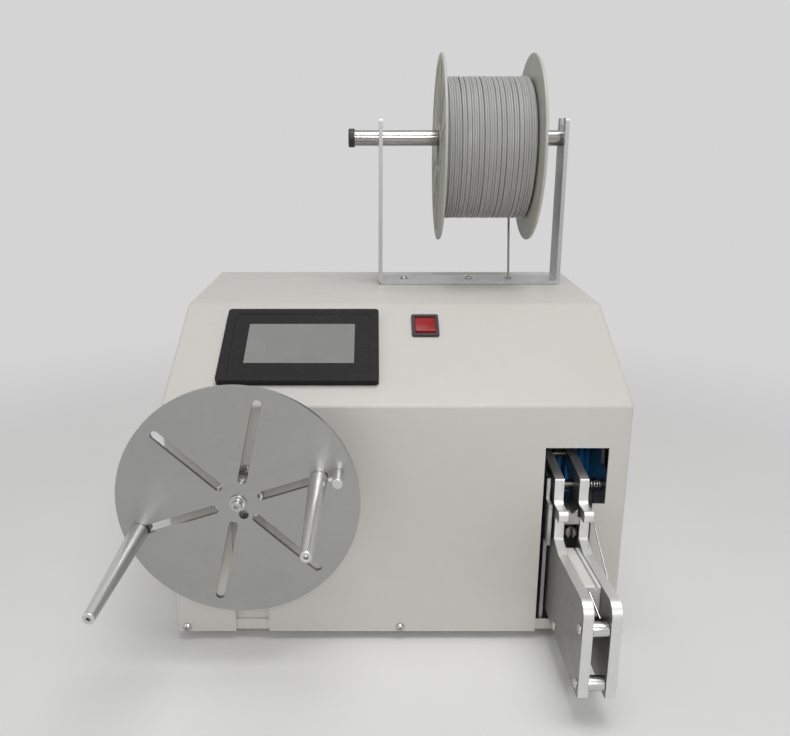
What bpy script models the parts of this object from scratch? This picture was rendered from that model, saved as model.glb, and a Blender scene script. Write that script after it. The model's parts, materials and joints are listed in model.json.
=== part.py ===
"""Cable winding and tying machine, modelled piece by piece.

A sheet-metal hood over a base tray carries a slotted winding disc on its left, a tying arm in a slot
on its right, a touch screen and a switch on its slope, and a spool of tie wire on a stand on its top.

Every piece is modelled in the machine's own coordinates: X is 0 at the middle of the hood, Y is 0 at its
front face and grows towards the back, and Z is 0 at its bottom edge. One empty then carries them all, so
that the model stands on its feet with its origin below the middle of its box. Lengths are in metres.
"""

import math

import bmesh
import bpy
import numpy as np
from mathutils import Matrix, Vector

for leftover in list(bpy.data.objects):
    bpy.data.objects.remove(leftover, do_unlink=True)

# Clearances and shared values
FIT_GAP = 0.0003
OVERRUN = 0.002
SCREW_RADIUS = 0.002
SCREW_HEAD_RADIUS = 0.004
SCREW_HEAD_HEIGHT = 0.0024
SCREW_GRIP = 0.006
SCREW_DOME_SHARE = 0.6
SCREW_SLOT = 0.001
MILLIMETRE = 0.001
SEAM_MERGE = 0.00001
MESH_MERGE = 0.000001
SMOOTH_ANGLE = math.radians(40)
LEVEL_SHARE = 0.5
NEIGHBOUR_RADII = 8

# Casing
HOOD_WIDTH = 0.400
HOOD_DEPTH = 0.308
HOOD_HEIGHT = 0.280
HOOD_FRONT_HEIGHT = 0.2186
SLOPE_RUN = 0.127
SHEET = 0.0015
BEND_RADIUS = 0.0025
FOLD_SWEEP = math.radians(20)
TRAY_HEIGHT = 0.0115
FOOT_HEIGHT = 0.008
FOOT_RADIUS = 0.010
FOOT_TAPER = 0.0015
FOOT_INSET = 0.028
HOOD_SCREW_HEIGHT = 0.0045
HOOD_SCREW_LEFT_INSET = 0.009
HOOD_SCREW_MIDDLE_X = 0.004
ARM_SLOT_LEFT = 0.1275
ARM_SLOT_RIGHT = 0.171
WINDOW_RIGHT = 0.182
WINDOW_BOTTOM = 0.1277
WINDOW_TOP = 0.1803

# Winding disc and its drive
DISC_X = -0.131
DISC_Z = 0.150
DISC_RADIUS = 0.100
DISC_THICKNESS = 0.004
DISC_REACH = 0.044
SLOT_COUNT = 6
SLOT_START = math.radians(17.5)
SLOT_WIDTH = 0.0075
SLOT_INNER = 0.017
SLOT_OUTER = 0.0903
INDEX_HOLE_RADIUS = 0.004
INDEX_HOLE_X = 0.0045
INDEX_HOLE_Z = -0.0105
SPINDLE_RADIUS = 0.0075
SPINDLE_FLANGE_RADIUS = 0.020
SPINDLE_FLANGE = 0.006
DISC_SCREW_RADIUS = 0.003
DISC_SCREW_DEPTH = 0.014
DISC_WASHER_RADIUS = 0.007
DISC_WASHER = 0.0015
DISC_SCREW_HEAD = 0.0045
DISC_SCREW_HEAD_HEIGHT = 0.005
HEX_RADIUS = 0.0024
HEX_DEPTH = 0.003
HOOD_SLOT_RADIUS = 0.015
BRACKET_WIDTH = 0.070
BRACKET_SHEET = 0.003
BRACKET_FRONT_HEIGHT = 0.205
BRACKET_REAR_HEIGHT = 0.180
BRACKET_DEPTH = 0.062
BRACKET_HOLE_RADIUS = 0.012
BEARING_FLANGE_RADIUS = 0.024
BEARING_FLANGE = 0.006
BEARING_BARREL_RADIUS = 0.017
BEARING_LENGTH = 0.028
COUPLING_RADIUS = 0.0125
COUPLING_LENGTH = 0.020
COUPLING_GRIP = 0.008
MOTOR_SHAFT_RADIUS = 0.004
MOTOR_NOSE_DEPTH = 0.006
WINDING_MOTOR_SIDE = 0.057
WINDING_MOTOR_LENGTH = 0.076
MOTOR_CORNER = 0.005

# Winding posts and the clamp pin
POST_LENGTH = 0.126
POST_BASE_RADIUS = 0.0075
POST_TIP_RADIUS = 0.0043
POST_TIP_ROUND = 0.0015
POST_TIP_HOLE = 0.0016
POST_TIP_HOLE_DEPTH = 0.004
POST_COLLAR = 0.004
STUD_LENGTH = 0.0135
POST_NUT_RADIUS = 0.009
POST_NUT = 0.006
LEFT_POST_SLOT = 3
RIGHT_POST_SLOT = 0
RIGHT_POST_RADIUS = 0.0695
CLAMP_PIN_RADIUS = 0.0044
CLAMP_PIN_LENGTH = 0.021
CLAMP_BOSS_RADIUS = 0.0023
CLAMP_BOSS_OUT = 0.008
CLAMP_BOSS_GAP = 0.0015

# Screen and switch, both on the slope
SCREEN_WIDTH = 0.142
SCREEN_HEIGHT = 0.100
SCREEN_PROUD = 0.006
SCREEN_X = -0.0865
SCREEN_UP = 0.0745
SCREEN_CORNER = 0.003
SCREEN_BODY_MARGIN = 0.006
SCREEN_BODY_DEPTH = 0.034
GLASS_WIDTH = 0.098
GLASS_HEIGHT = 0.0545
GLASS_UP = 0.0008
GLASS_RECESS = 0.0016
GLASS_THICKNESS = 0.0009
SWITCH_X = 0.028
SWITCH_UP = 0.1055
SWITCH_WIDTH = 0.0255
SWITCH_HEIGHT = 0.031
SWITCH_PROUD = 0.0022
SWITCH_CORNER = 0.0015
SWITCH_BODY_MARGIN = 0.0022
SWITCH_BODY_DEPTH = 0.020
ROCKER_WIDTH = 0.0185
ROCKER_SWING = 0.0118
ROCKER_RIM = 0.0035
ROCKER_VALLEY = 0.0014
ROCKER_KEEL = 0.007
ROCKER_KEEL_WIDTH = 0.006
ROCKER_TILT = math.radians(8)
ROCKER_END_SHARE = 1.5

# Mains inlet at the back
INLET_WIDTH = 0.048
INLET_HEIGHT = 0.028
INLET_PROUD = 0.003
INLET_X = -0.120
INLET_Z = 0.055
INLET_CORNER = 0.003
INLET_BODY_MARGIN = 0.004
INLET_BODY_DEPTH = 0.022
INLET_SOCKET_MARGIN = 0.0055
INLET_SOCKET_DEPTH = 0.017

# Spool stand, shaft and spool
STAND_LEFT = -0.015
STAND_RIGHT = 0.181
STAND_BAR = 0.004
STAND_BAR_WIDTH = 0.036
STAND_HEIGHT = 0.173
STAND_BEND = 0.004
STAND_FRONT_INSET = 0.225
STAND_SCREW_XS = (0.013, 0.084)
SHAFT_RADIUS = 0.008
SHAFT_HEIGHT = 0.153
SHAFT_LEFT = -0.045
SHAFT_RIGHT = 0.1835
SHAFT_CHAMFER = 0.001
CAP_WALL = 0.0013
CAP_LENGTH = 0.0065
CAP_END = 0.0015
SPOOL_LEFT = 0.0475
SPOOL_RIGHT = 0.145
SPOOL_RADIUS = 0.095
SPOOL_FLANGE = 0.005
SPOOL_RIM = 0.003
SPOOL_HUB_RADIUS = 0.030
SPOOL_BORE_RADIUS = 0.019
SPOOL_HOLE_RADIUS = 0.0016
SPOOL_HOLE_INSET = 0.006
WIRE_RADIUS = 0.0012
WOUND_RADIUS = 0.0725
WOUND_TURNS = 22
TURN_POINTS = 24
WIRE_HOLE_RADIUS = 0.004
WIRE_TAKE_OFF_X = 0.134
WIRE_HOLE_X = 0.128
WIRE_X = 0.124
WIRE_BEND = 0.060
WIRE_FEED_Z = 0.052
WIRE_END_Y = 0.085
WIRE_BEND_STEPS = 8

# Tying arm
ARM_LEFT = 0.137
ARM_PLATE = 0.008
ARM_GAP = 0.0135
ARM_FRONT = -0.120
ARM_BOTTOM = 0.020
ARM_NOSE_TOP = 0.1025
ARM_NOSE_ROUND = 0.012
ARM_TOE_ROUND = 0.003
ARM_THROAT_TOP = 0.095
ARM_THROAT_Y = -0.030
NECK_FRONT = -0.011
NECK_CHAMFER_Z = 0.100
NECK_TOP = 0.120
NECK_BACK = 0.006
ARM_BACK_TOP = 0.112
ARM_BACK = 0.044
TAIL_TOP = 0.062
PLATE_BEVEL = 0.0006
SPACER_RADIUS = 0.006
SPACER_HEAD_RADIUS = 0.004
SPACER_STUD_RADIUS = 0.0025
SPACER_HEAD = 0.0015
SPACER_Y = -0.113
SPACER_UPPER_Z = 0.078
SPACER_LOWER_Z = 0.030
REAR_SPACER_Y = -0.033
REAR_SPACER_Z = 0.028
GUIDE_FRONT = -0.087
GUIDE_BACK = -0.013
GUIDE_DEPTH = 0.028
GUIDE_SETBACK = 0.0008
GUIDE_GROOVE = 0.0018
GUIDE_GROOVE_DEPTH = 0.003
GUIDE_BAR_RADIUS = 0.001
GUIDE_BAR_START_X = -0.003
GUIDE_BAR_END_X = 0.0015
GUIDE_BAR_START_DROP = 0.004
CUTTER_WIDTH = 0.009
CUTTER_BOTTOM = 0.1135
CUTTER_TOP = 0.129
CUTTER_FRONT = -0.0105
CUTTER_BACK = 0.040
CUTTER_NOTCH = 0.007
CUTTER_STEM_TOP = 0.1205

# Upper jaws and their drive
PIVOT_Y = 0.022
PIVOT_Z = 0.137
PIVOT_RADIUS = 0.004
PIVOT_HEAD_RADIUS = 0.0065
PIVOT_HEAD = 0.003
JAW_FRONT = -0.002
JAW_FRONT_TOP = 0.152
JAW_FRONT_FOOT = 0.129
JAW_TIP = -0.024
JAW_TIP_TOP = 0.1315
JAW_TIP_ROUND = 0.004
JAW_HEEL_Y = 0.029
JAW_TAIL_BOTTOM = 0.146
JAW_TAIL_Y = 0.045
JAW_TAIL_FOOT = 0.139
JAW_BACK = 0.0635
JAW_BACK_TOP = 0.1563
JAW_ROUND = 0.002
BAR_Y = 0.058
BAR_Z = 0.152
BAR_RADIUS = 0.003
CAM_SHAFT_RADIUS = 0.0025
CAM_NEAR = 0.005
CAM_THROW = 0.006
CAM_WIDTH = 0.009
CAM_CLEARANCE = 0.0004
SMALL_MOTOR_SIDE = 0.042
SMALL_MOTOR_LENGTH = 0.040
SPRING_WIRE_RADIUS = 0.0008
SPRING_PITCH = 0.0024
SPRING_CURLS = 5
CURL_POINTS = 10
SPRING_GAP = 0.0037
SPRING_LEG_Y = -0.072
SPRING_LEG_Z = 0.088
SPRING_TAIL = 0.010

# Tying frame and twisting drive
CHEEK_SHEET = 0.003
CHEEK_GAP = 0.0025
CHEEK_FRONT = 0.0046
CHEEK_BACK = 0.175
CHEEK_NOSE = -0.008
CHEEK_NOSE_LOW = 0.092
CHEEK_NOSE_HIGH = 0.131
CHEEK_HEIGHT = 0.176
CHEEK_SHOULDER_Y = 0.040
CHEEK_SHOULDER_Z = 0.150
CHEEK_REAR_Y = 0.090
CHEEK_REAR_Z = 0.095
FRAME_RIGHT = 0.190
TWIST_Z = 0.104
TWIST_HEAD_RADIUS = 0.0060
TWIST_NECK_RADIUS = 0.0042
TWIST_FRONT = -0.010
TWIST_HEAD_LENGTH = 0.016
TWIST_RING = 0.003
TWIST_SLOT = 0.003
TWIST_SLOT_DEPTH = 0.006
GEAR_MODULE = 0.0014
GEAR_TEETH = 20
PINION_TEETH = 12
GEAR_ADDENDUM = 0.0008
GEAR_DEDENDUM = 0.0012
GEAR_WIDTH = 0.005
TOOTH_ROOT_SHARE = 0.25
TOOTH_TIP_SHARE = 0.13
BEARING_PLATE_Y = 0.056
BEARING_PLATE = 0.004
BEARING_PLATE_TOP = 0.114
PINION_SHAFT_RADIUS = 0.0025
TWIST_MOTOR_RADIUS = 0.0155
TWIST_MOTOR_LENGTH = 0.048
DRIVER_LEFT = 0.143
DRIVER_FRONT = 0.076
DRIVER_BACK = 0.112
DRIVER_BOTTOM = 0.099
DRIVER_TOP = 0.160
DRIVER_FINS = 7
DRIVER_FIN_DEPTH = 0.008
FIN_SHARE = 0.45

# Wire feed
FEED_Y = 0.152
FEED_ROLLER_RADIUS = 0.012
PINCH_ROLLER_RADIUS = 0.009
ROLLER_WIDTH = 0.008
ROLLER_SHAFT_RADIUS = 0.003

# Electrics on the tray
SUPPLY_LEFT = -0.180
SUPPLY_WIDTH = 0.110
SUPPLY_DEPTH = 0.098
SUPPLY_HEIGHT = 0.040
SUPPLY_BACK_INSET = 0.035
SUPPLY_LEDGE = 0.018
SUPPLY_LEDGE_DROP = 0.018
BOARD_LEFT = -0.010
BOARD_WIDTH = 0.110
BOARD_DEPTH = 0.085
BOARD_BACK_INSET = 0.033
BOARD_THICKNESS = 0.0016
BOARD_LEG = 0.008
BOARD_LEG_RADIUS = 0.003
BOARD_LEG_INSET = 0.006
CHIP_SIDE = 0.022
CHIP_HEIGHT = 0.005

# Counts of facets
BIG_SIDES = 60
ROUND_SIDES = 24
SPOOL_SIDES = 40
HEX_SIDES = 6
SMALL_SIDES = 16
TINY_SIDES = 12
LEG_SIDES = 8
CORNER_STEPS = 3

# Sizes worked out from the ones above
FULL_TURN = 2 * math.pi
QUARTER = math.pi / 2
SLOPE_RISE = HOOD_HEIGHT - HOOD_FRONT_HEIGHT
SLOPE_ANGLE = math.atan2(SLOPE_RISE, SLOPE_RUN)
TRAY_FLOOR = SHEET + FIT_GAP
DISC_BACK = -DISC_REACH + DISC_THICKNESS
LEFT_POST_RADIUS = SLOT_OUTER - SLOT_WIDTH / 2
STUD_RADIUS = SLOT_WIDTH / 2 - FIT_GAP
BRACKET_FRONT = 2 * SHEET + 2 * FIT_GAP + FIT_GAP
BRACKET_BACK = BRACKET_FRONT + BRACKET_DEPTH
STAND_BASE = HOOD_HEIGHT + FIT_GAP
STAND_FLOOR = STAND_BASE + STAND_BAR
STAND_MID_Y = STAND_FRONT_INSET + STAND_BAR_WIDTH / 2
SHAFT_Z = HOOD_HEIGHT + SHAFT_HEIGHT
SPOOL_Z = SHAFT_Z - (SPOOL_BORE_RADIUS - SHAFT_RADIUS - FIT_GAP)
ARM_INNER_LEFT = ARM_LEFT + ARM_PLATE
ARM_INNER_RIGHT = ARM_INNER_LEFT + ARM_GAP
ARM_RIGHT = ARM_INNER_RIGHT + ARM_PLATE
ARM_MID = (ARM_INNER_LEFT + ARM_INNER_RIGHT) / 2
JAW_BOTTOM = NECK_TOP + 2 * FIT_GAP
CHEEK_RIGHT = ARM_LEFT - CHEEK_GAP
CHEEK_LEFT = CHEEK_RIGHT - CHEEK_SHEET
GEAR_RADIUS = GEAR_MODULE * GEAR_TEETH / 2
PINION_RADIUS = GEAR_MODULE * PINION_TEETH / 2
PINION_Z = TWIST_Z - GEAR_RADIUS - PINION_RADIUS
SPRING_RADIUS = (PIVOT_RADIUS + FIT_GAP + SPRING_WIRE_RADIUS) / math.cos(math.pi / CURL_POINTS)
CAM_Z = BAR_Z + BAR_RADIUS + CAM_CLEARANCE + CAM_NEAR
FEED_ROLLER_Z = WIRE_FEED_Z + WIRE_RADIUS + FIT_GAP + FEED_ROLLER_RADIUS
PINCH_ROLLER_Z = WIRE_FEED_Z - WIRE_RADIUS - FIT_GAP - PINCH_ROLLER_RADIUS

# Groups, and the empty that puts the origin below the middle of the machine's box
PARTS = bpy.data.collections.new("cable_winding_and_tying_machine")
CUTTERS = bpy.data.collections.new("cutters")
bpy.context.scene.collection.children.link(PARTS)
bpy.context.scene.collection.children.link(CUTTERS)

MIDDLE_X = (DISC_X - DISC_RADIUS + HOOD_WIDTH / 2) / 2
MIDDLE_Y = (-DISC_REACH - FIT_GAP - POST_LENGTH + STAND_MID_Y + SPOOL_RADIUS) / 2
MACHINE = bpy.data.objects.new("machine_origin", None)
MACHINE.location = (-MIDDLE_X, -MIDDLE_Y, FOOT_HEIGHT)
PARTS.objects.link(MACHINE)

# Frames in which pieces are drawn: the local Z of each is the direction of a plate's thickness or a turned
# piece's axis.
ALONG_X = Matrix(((0, 0, 1), (1, 0, 0), (0, 1, 0))).to_4x4()
FACING_FRONT = Matrix(((1, 0, 0), (0, 0, -1), (0, 1, 0))).to_4x4()
FACING_BACK = Matrix(((-1, 0, 0), (0, 0, 1), (0, 1, 0))).to_4x4()
UPRIGHT = Matrix.Identity(4)
SLOPE_TURN = Matrix.Rotation(SLOPE_ANGLE, 4, "X")


def material(name, colour, roughness, metallic):
    """A plain finish for one kind of surface."""
    finish = bpy.data.materials.new(name)
    finish.use_nodes = True
    shader = finish.node_tree.nodes["Principled BSDF"]
    shader.inputs["Base Color"].default_value = (*colour, 1)
    shader.inputs["Roughness"].default_value = roughness
    shader.inputs["Metallic"].default_value = metallic
    return finish


POWDER_COAT = material("powder_coat", (0.78, 0.76, 0.73), 0.45, 0)
ZINC_SHEET = material("zinc_sheet", (0.60, 0.61, 0.60), 0.42, 1)
BRUSHED_ALUMINIUM = material("brushed_aluminium", (0.70, 0.71, 0.68), 0.32, 1)
SATIN_ALUMINIUM = material("satin_aluminium", (0.78, 0.78, 0.77), 0.38, 1)
POLISHED_STEEL = material("polished_steel", (0.72, 0.72, 0.71), 0.18, 1)
BLACK_PLASTIC = material("black_plastic", (0.012, 0.012, 0.013), 0.30, 0)
BLACK_RUBBER = material("black_rubber", (0.02, 0.02, 0.02), 0.75, 0)
SCREEN_GREY = material("screen_grey", (0.33, 0.33, 0.32), 0.25, 0)
RED_PLASTIC = material("red_plastic", (0.62, 0.02, 0.02), 0.30, 0)
SPOOL_PLASTIC = material("spool_plastic", (0.66, 0.66, 0.61), 0.50, 0)
WIRE_COAT = material("wire_coat", (0.70, 0.70, 0.68), 0.45, 0)
WHITE_PLASTIC = material("white_plastic", (0.85, 0.84, 0.80), 0.45, 0)
DARK_STEEL = material("dark_steel", (0.10, 0.10, 0.10), 0.40, 1)
BLUE_CASING = material("blue_casing", (0.01, 0.09, 0.38), 0.40, 0.5)
SUPPLY_CASE = material("supply_case", (0.55, 0.56, 0.56), 0.45, 1)
BOARD_GREEN = material("board_green", (0.01, 0.16, 0.09), 0.50, 0)


def adopt(obj, finish):
    """Puts a new object among the parts, or among the cutters where it has no finish."""
    group = PARTS if finish else CUTTERS
    group.objects.link(obj)
    obj.parent = MACHINE
    if finish:
        obj.data.materials.clear()
        obj.data.materials.append(finish)
    else:
        obj.hide_render = True
        obj.display_type = "WIRE"
    return obj


def from_bmesh(name, bm, finish, place):
    """One object whose mesh is given about its own origin."""
    mesh = bpy.data.meshes.new(name)
    bm.to_mesh(mesh)
    bm.free()
    obj = bpy.data.objects.new(name, mesh)
    obj.matrix_local = place
    return adopt(obj, finish)


def at(x, y, z, turn=UPRIGHT):
    return Matrix.Translation((x, y, z)) @ turn


def on_slope(x, up):
    """The place on the hood's slope at a height up from its lower fold."""
    foot = Matrix.Translation((x, 0, HOOD_FRONT_HEIGHT))
    return foot @ SLOPE_TURN @ Matrix.Translation((0, up, 0))


def block(name, low, high, finish, place=UPRIGHT):
    """A rectangular block between two corners, its origin at its middle."""
    low = Vector(low)
    high = Vector(high)
    size = high - low
    bm = bmesh.new()
    bmesh.ops.create_cube(bm, size=1)
    bmesh.ops.scale(bm, vec=size, verts=bm.verts)
    return from_bmesh(name, bm, finish, place @ Matrix.Translation((low + high) / 2))


def rod(name, radius, length, finish, place, sides=SMALL_SIDES):
    """A round bar that runs from its origin along its local Z."""
    bm = bmesh.new()
    shift = Matrix.Translation((0, 0, length / 2))
    bmesh.ops.create_cone(
        bm, cap_ends=True, segments=sides, radius1=radius, radius2=radius, depth=length, matrix=shift
    )
    obj = from_bmesh(name, bm, finish, place)
    if finish:
        smooth(obj)
    return obj


def turned(name, profile, finish, place, sides=ROUND_SIDES, closed=False):
    """A turned piece: its profile runs down its outer side, as radius and height along local Z."""
    bm = bmesh.new()
    points = [bm.verts.new((radius, 0, height)) for radius, height in profile]
    for upper, lower in zip(points, points[1:]):
        bm.edges.new((upper, lower))
    if closed:
        bm.edges.new((points[-1], points[0]))
    obj = from_bmesh(name, bm, finish, place)
    screw = obj.modifiers.new("turn", "SCREW")
    screw.axis = "Z"
    screw.steps = sides
    screw.render_steps = sides
    screw.use_merge_vertices = True
    screw.merge_threshold = SEAM_MERGE
    screw.use_smooth_shade = False
    return obj


def fillet(corners):
    """An outline whose corners are (u, v) or (u, v, radius), with each radius rounded off."""
    outline = []
    count = len(corners)
    for index, corner in enumerate(corners):
        here = Vector(corner[:2])
        radius = corner[2] if len(corner) > 2 else 0
        if not radius:
            outline.append(here)
            continue
        before = (Vector(corners[index - 1][:2]) - here).normalized()
        after = (Vector(corners[(index + 1) % count][:2]) - here).normalized()
        half = before.angle(after) / 2
        setback = radius / math.tan(half)
        centre = here + (before + after).normalized() * (radius / math.sin(half))
        start = here + before * setback - centre
        end = here + after * setback - centre
        sweep = start.angle_signed(end)
        for step in range(CORNER_STEPS + 1):
            outline.append(centre + Matrix.Rotation(-sweep * step / CORNER_STEPS, 2) @ start)
    return outline


def circle(radius, sides, middle=(0, 0)):
    turns = np.arange(sides) * FULL_TURN / sides
    return [Vector((middle[0] + radius * math.cos(t), middle[1] + radius * math.sin(t))) for t in turns]


def plate(name, outlines, thickness, finish, place, bevel=0):
    """A flat piece cut to outlines in its local XY plane, its thickness centred on that plane."""
    curve = bpy.data.curves.new(name + "_outline", "CURVE")
    curve.dimensions = "2D"
    curve.fill_mode = "BOTH"
    curve.extrude = thickness / 2
    for outline in outlines:
        spline = curve.splines.new("POLY")
        spline.points.add(len(outline) - 1)
        spline.use_cyclic_u = True
        for point, corner in zip(spline.points, outline):
            point.co = (corner[0], corner[1], 0, 1)
    return curve_to_mesh(name, curve, finish, place, bevel)


def tube(name, points, radius, finish, resolution, place=UPRIGHT):
    """A round wire or bar along points."""
    curve = bpy.data.curves.new(name + "_path", "CURVE")
    curve.dimensions = "3D"
    curve.bevel_depth = radius
    curve.bevel_resolution = resolution
    curve.use_fill_caps = True
    spline = curve.splines.new("POLY")
    spline.points.add(len(points) - 1)
    for point, where in zip(spline.points, points):
        point.co = (*where, 1)
    return curve_to_mesh(name, curve, finish, place, 0)


def curve_to_mesh(name, curve, finish, place, bevel):
    drawn = bpy.data.objects.new(name + "_drawn", curve)
    bpy.context.scene.collection.objects.link(drawn)
    bpy.context.view_layer.update()
    graph = bpy.context.evaluated_depsgraph_get()
    mesh = bpy.data.meshes.new_from_object(drawn.evaluated_get(graph))
    mesh.name = name
    bpy.data.objects.remove(drawn, do_unlink=True)
    bm = bmesh.new()
    bm.from_mesh(mesh)
    bmesh.ops.remove_doubles(bm, verts=bm.verts, dist=MESH_MERGE)
    bmesh.ops.dissolve_degenerate(bm, edges=bm.edges, dist=MESH_MERGE)
    bmesh.ops.recalc_face_normals(bm, faces=bm.faces)
    obj = from_bmesh(name, bm, finish, place)
    bpy.data.meshes.remove(mesh)
    if bevel:
        soften(obj, bevel)
    return obj


def smooth(obj):
    obj.data.shade_smooth()
    obj.data.set_sharp_from_angle(angle=SMOOTH_ANGLE)


def soften(obj, width):
    """Breaks the sharp edges of a machined or moulded piece."""
    bevel = obj.modifiers.new("edges", "BEVEL")
    bevel.width = width
    bevel.segments = 1
    bevel.limit_method = "ANGLE"
    bevel.angle_limit = SMOOTH_ANGLE


def cut(obj, *cutters):
    for cutter in cutters:
        knife = obj.modifiers.new("cut", "BOOLEAN")
        knife.operation = "DIFFERENCE"
        knife.solver = "EXACT"
        knife.object = cutter
    return obj


def weld_on(obj, *pieces):
    """Joins helper solids to a piece, so that it stays one body."""
    for piece in pieces:
        union = obj.modifiers.new("weld", "BOOLEAN")
        union.operation = "UNION"
        union.solver = "EXACT"
        union.object = piece
    return obj


def hole(label, radius, start, length, turn, sides=SMALL_SIDES):
    """A drill that starts before the material and leaves it behind, along the turn's local Z."""
    place = at(*start, turn) @ Matrix.Translation((0, 0, -OVERRUN))
    return rod(label, radius, length + 2 * OVERRUN, None, place, sides)


def pan_screw(name, place):
    """A pan-head machine screw: its seat is at its origin and its shank runs along local -Z."""
    dome = SCREW_HEAD_RADIUS * SCREW_DOME_SHARE
    profile = [
        (0, SCREW_HEAD_HEIGHT),
        (dome, SCREW_HEAD_HEIGHT),
        (SCREW_HEAD_RADIUS, SCREW_HEAD_HEIGHT / 2),
        (SCREW_HEAD_RADIUS, FIT_GAP),
        (SCREW_RADIUS, FIT_GAP),
        (SCREW_RADIUS, -SCREW_GRIP),
        (0, -SCREW_GRIP),
    ]
    screw = turned(name, profile, POLISHED_STEEL, place, TINY_SIDES)
    half = SCREW_SLOT / 2
    low = SCREW_HEAD_HEIGHT / 2
    for index, (wide, deep) in enumerate(((dome, half), (half, dome))):
        slot = block(
            f"{name}_slot_{index}",
            (-wide, -deep, low),
            (wide, deep, SCREW_HEAD_HEIGHT + OVERRUN),
            None,
            place,
        )
        cut(screw, slot)
    return screw


def motor_nose(label, x, y, z, turn, radius):
    """The bore in a motor's face in which its shaft turns."""
    return hole(label, radius + FIT_GAP, (x, y, z), MOTOR_NOSE_DEPTH - OVERRUN, turn)


def casing():
    """The hood, its screws, the tray and the feet."""
    half = HOOD_WIDTH / 2
    bm = bmesh.new()
    bmesh.ops.create_cube(bm, size=1)
    bmesh.ops.scale(bm, vec=(HOOD_WIDTH, HOOD_DEPTH, HOOD_HEIGHT), verts=bm.verts)
    bmesh.ops.translate(bm, vec=(0, HOOD_DEPTH / 2, HOOD_HEIGHT / 2), verts=bm.verts)
    fold = Vector((0, 0, HOOD_FRONT_HEIGHT))
    outward = SLOPE_TURN @ Vector((0, 0, 1))
    whole = bm.verts[:] + bm.edges[:] + bm.faces[:]
    bmesh.ops.bisect_plane(bm, geom=whole, plane_co=fold, plane_no=outward, clear_outer=True)
    bmesh.ops.holes_fill(bm, edges=[edge for edge in bm.edges if edge.is_boundary])
    bmesh.ops.recalc_face_normals(bm, faces=bm.faces)
    floor = [face for face in bm.faces if face.normal.z < -LEVEL_SHARE]
    bmesh.ops.delete(bm, geom=floor, context="FACES")
    hood = from_bmesh("hood", bm, POWDER_COAT, UPRIGHT)
    fold_sheet(hood)

    slot_low = (DISC_X - HOOD_SLOT_RADIUS, -OVERRUN, -OVERRUN)
    slot_high = (DISC_X + HOOD_SLOT_RADIUS, SHEET + OVERRUN, DISC_Z)
    shaft_slot = block("shaft_slot", slot_low, slot_high, None)
    shaft_slot_end = hole(
        "shaft_slot_end", HOOD_SLOT_RADIUS, (DISC_X, SHEET, DISC_Z), SHEET, FACING_FRONT, ROUND_SIDES
    )
    arm_slot = block(
        "arm_slot",
        (ARM_SLOT_LEFT, -OVERRUN, -OVERRUN),
        (ARM_SLOT_RIGHT, SHEET + OVERRUN, WINDOW_BOTTOM + OVERRUN),
        None,
    )
    window = block(
        "window",
        (ARM_SLOT_LEFT, -OVERRUN, WINDOW_BOTTOM),
        (WINDOW_RIGHT, SHEET + OVERRUN, WINDOW_TOP),
        None,
    )
    cut(hood, shaft_slot, shaft_slot_end, arm_slot, window)
    cut(hood, slope_cut("screen_cutout", SCREEN_X, SCREEN_UP, screen_body_width(), screen_body_height()))
    cut(hood, slope_cut("switch_cutout", SWITCH_X, SWITCH_UP, switch_body_width(), switch_body_height()))
    inlet = (inlet_body_width() / 2 + FIT_GAP, inlet_body_height() / 2 + FIT_GAP)
    inlet_cutout = block(
        "inlet_cutout",
        (INLET_X - inlet[0], HOOD_DEPTH - SHEET - OVERRUN, INLET_Z - inlet[1]),
        (INLET_X + inlet[0], HOOD_DEPTH + OVERRUN, INLET_Z + inlet[1]),
        None,
    )
    wire_start = (WIRE_HOLE_X, STAND_MID_Y, HOOD_HEIGHT - SHEET)
    wire_hole = hole("wire_hole", WIRE_HOLE_RADIUS, wire_start, SHEET, UPRIGHT)
    cut(hood, inlet_cutout, wire_hole)
    for x in STAND_SCREW_XS:
        start = (x, STAND_MID_Y, HOOD_HEIGHT - SHEET)
        cut(hood, hole("stand_screw_hole", SCREW_RADIUS + FIT_GAP, start, SHEET, UPRIGHT, TINY_SIDES))

    outer = half - SHEET - FIT_GAP
    front = SHEET + FIT_GAP
    bm = bmesh.new()
    bmesh.ops.create_cube(bm, size=1)
    bmesh.ops.scale(bm, vec=(2 * outer, HOOD_DEPTH - 2 * front, TRAY_HEIGHT), verts=bm.verts)
    bmesh.ops.delete(bm, geom=[face for face in bm.faces if face.normal.z > LEVEL_SHARE], context="FACES")
    tray = from_bmesh("base_tray", bm, POWDER_COAT, at(0, HOOD_DEPTH / 2, TRAY_HEIGHT / 2))
    fold_sheet(tray)

    screw_xs = {"left": -half + HOOD_SCREW_LEFT_INSET, "middle": HOOD_SCREW_MIDDLE_X}
    for side, x in screw_xs.items():
        start = (x, 2 * front, HOOD_SCREW_HEIGHT)
        radius = SCREW_RADIUS + FIT_GAP
        drill = hole("hood_screw_hole", radius, start, 2 * front, FACING_FRONT, TINY_SIDES)
        cut(hood, drill)
        cut(tray, drill)
        pan_screw(f"hood_screw_{side}", at(x, 0, HOOD_SCREW_HEIGHT, FACING_FRONT))

    for side, x in (("left", -half + FOOT_INSET), ("right", half - FOOT_INSET)):
        for end, y in (("front", FOOT_INSET), ("rear", HOOD_DEPTH - FOOT_INSET)):
            profile = [
                (0, -FIT_GAP),
                (FOOT_RADIUS, -FIT_GAP),
                (FOOT_RADIUS - FOOT_TAPER, -FOOT_HEIGHT),
                (0, -FOOT_HEIGHT),
            ]
            turned(f"foot_{end}_{side}", profile, BLACK_RUBBER, at(x, y, 0), SMALL_SIDES)


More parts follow.
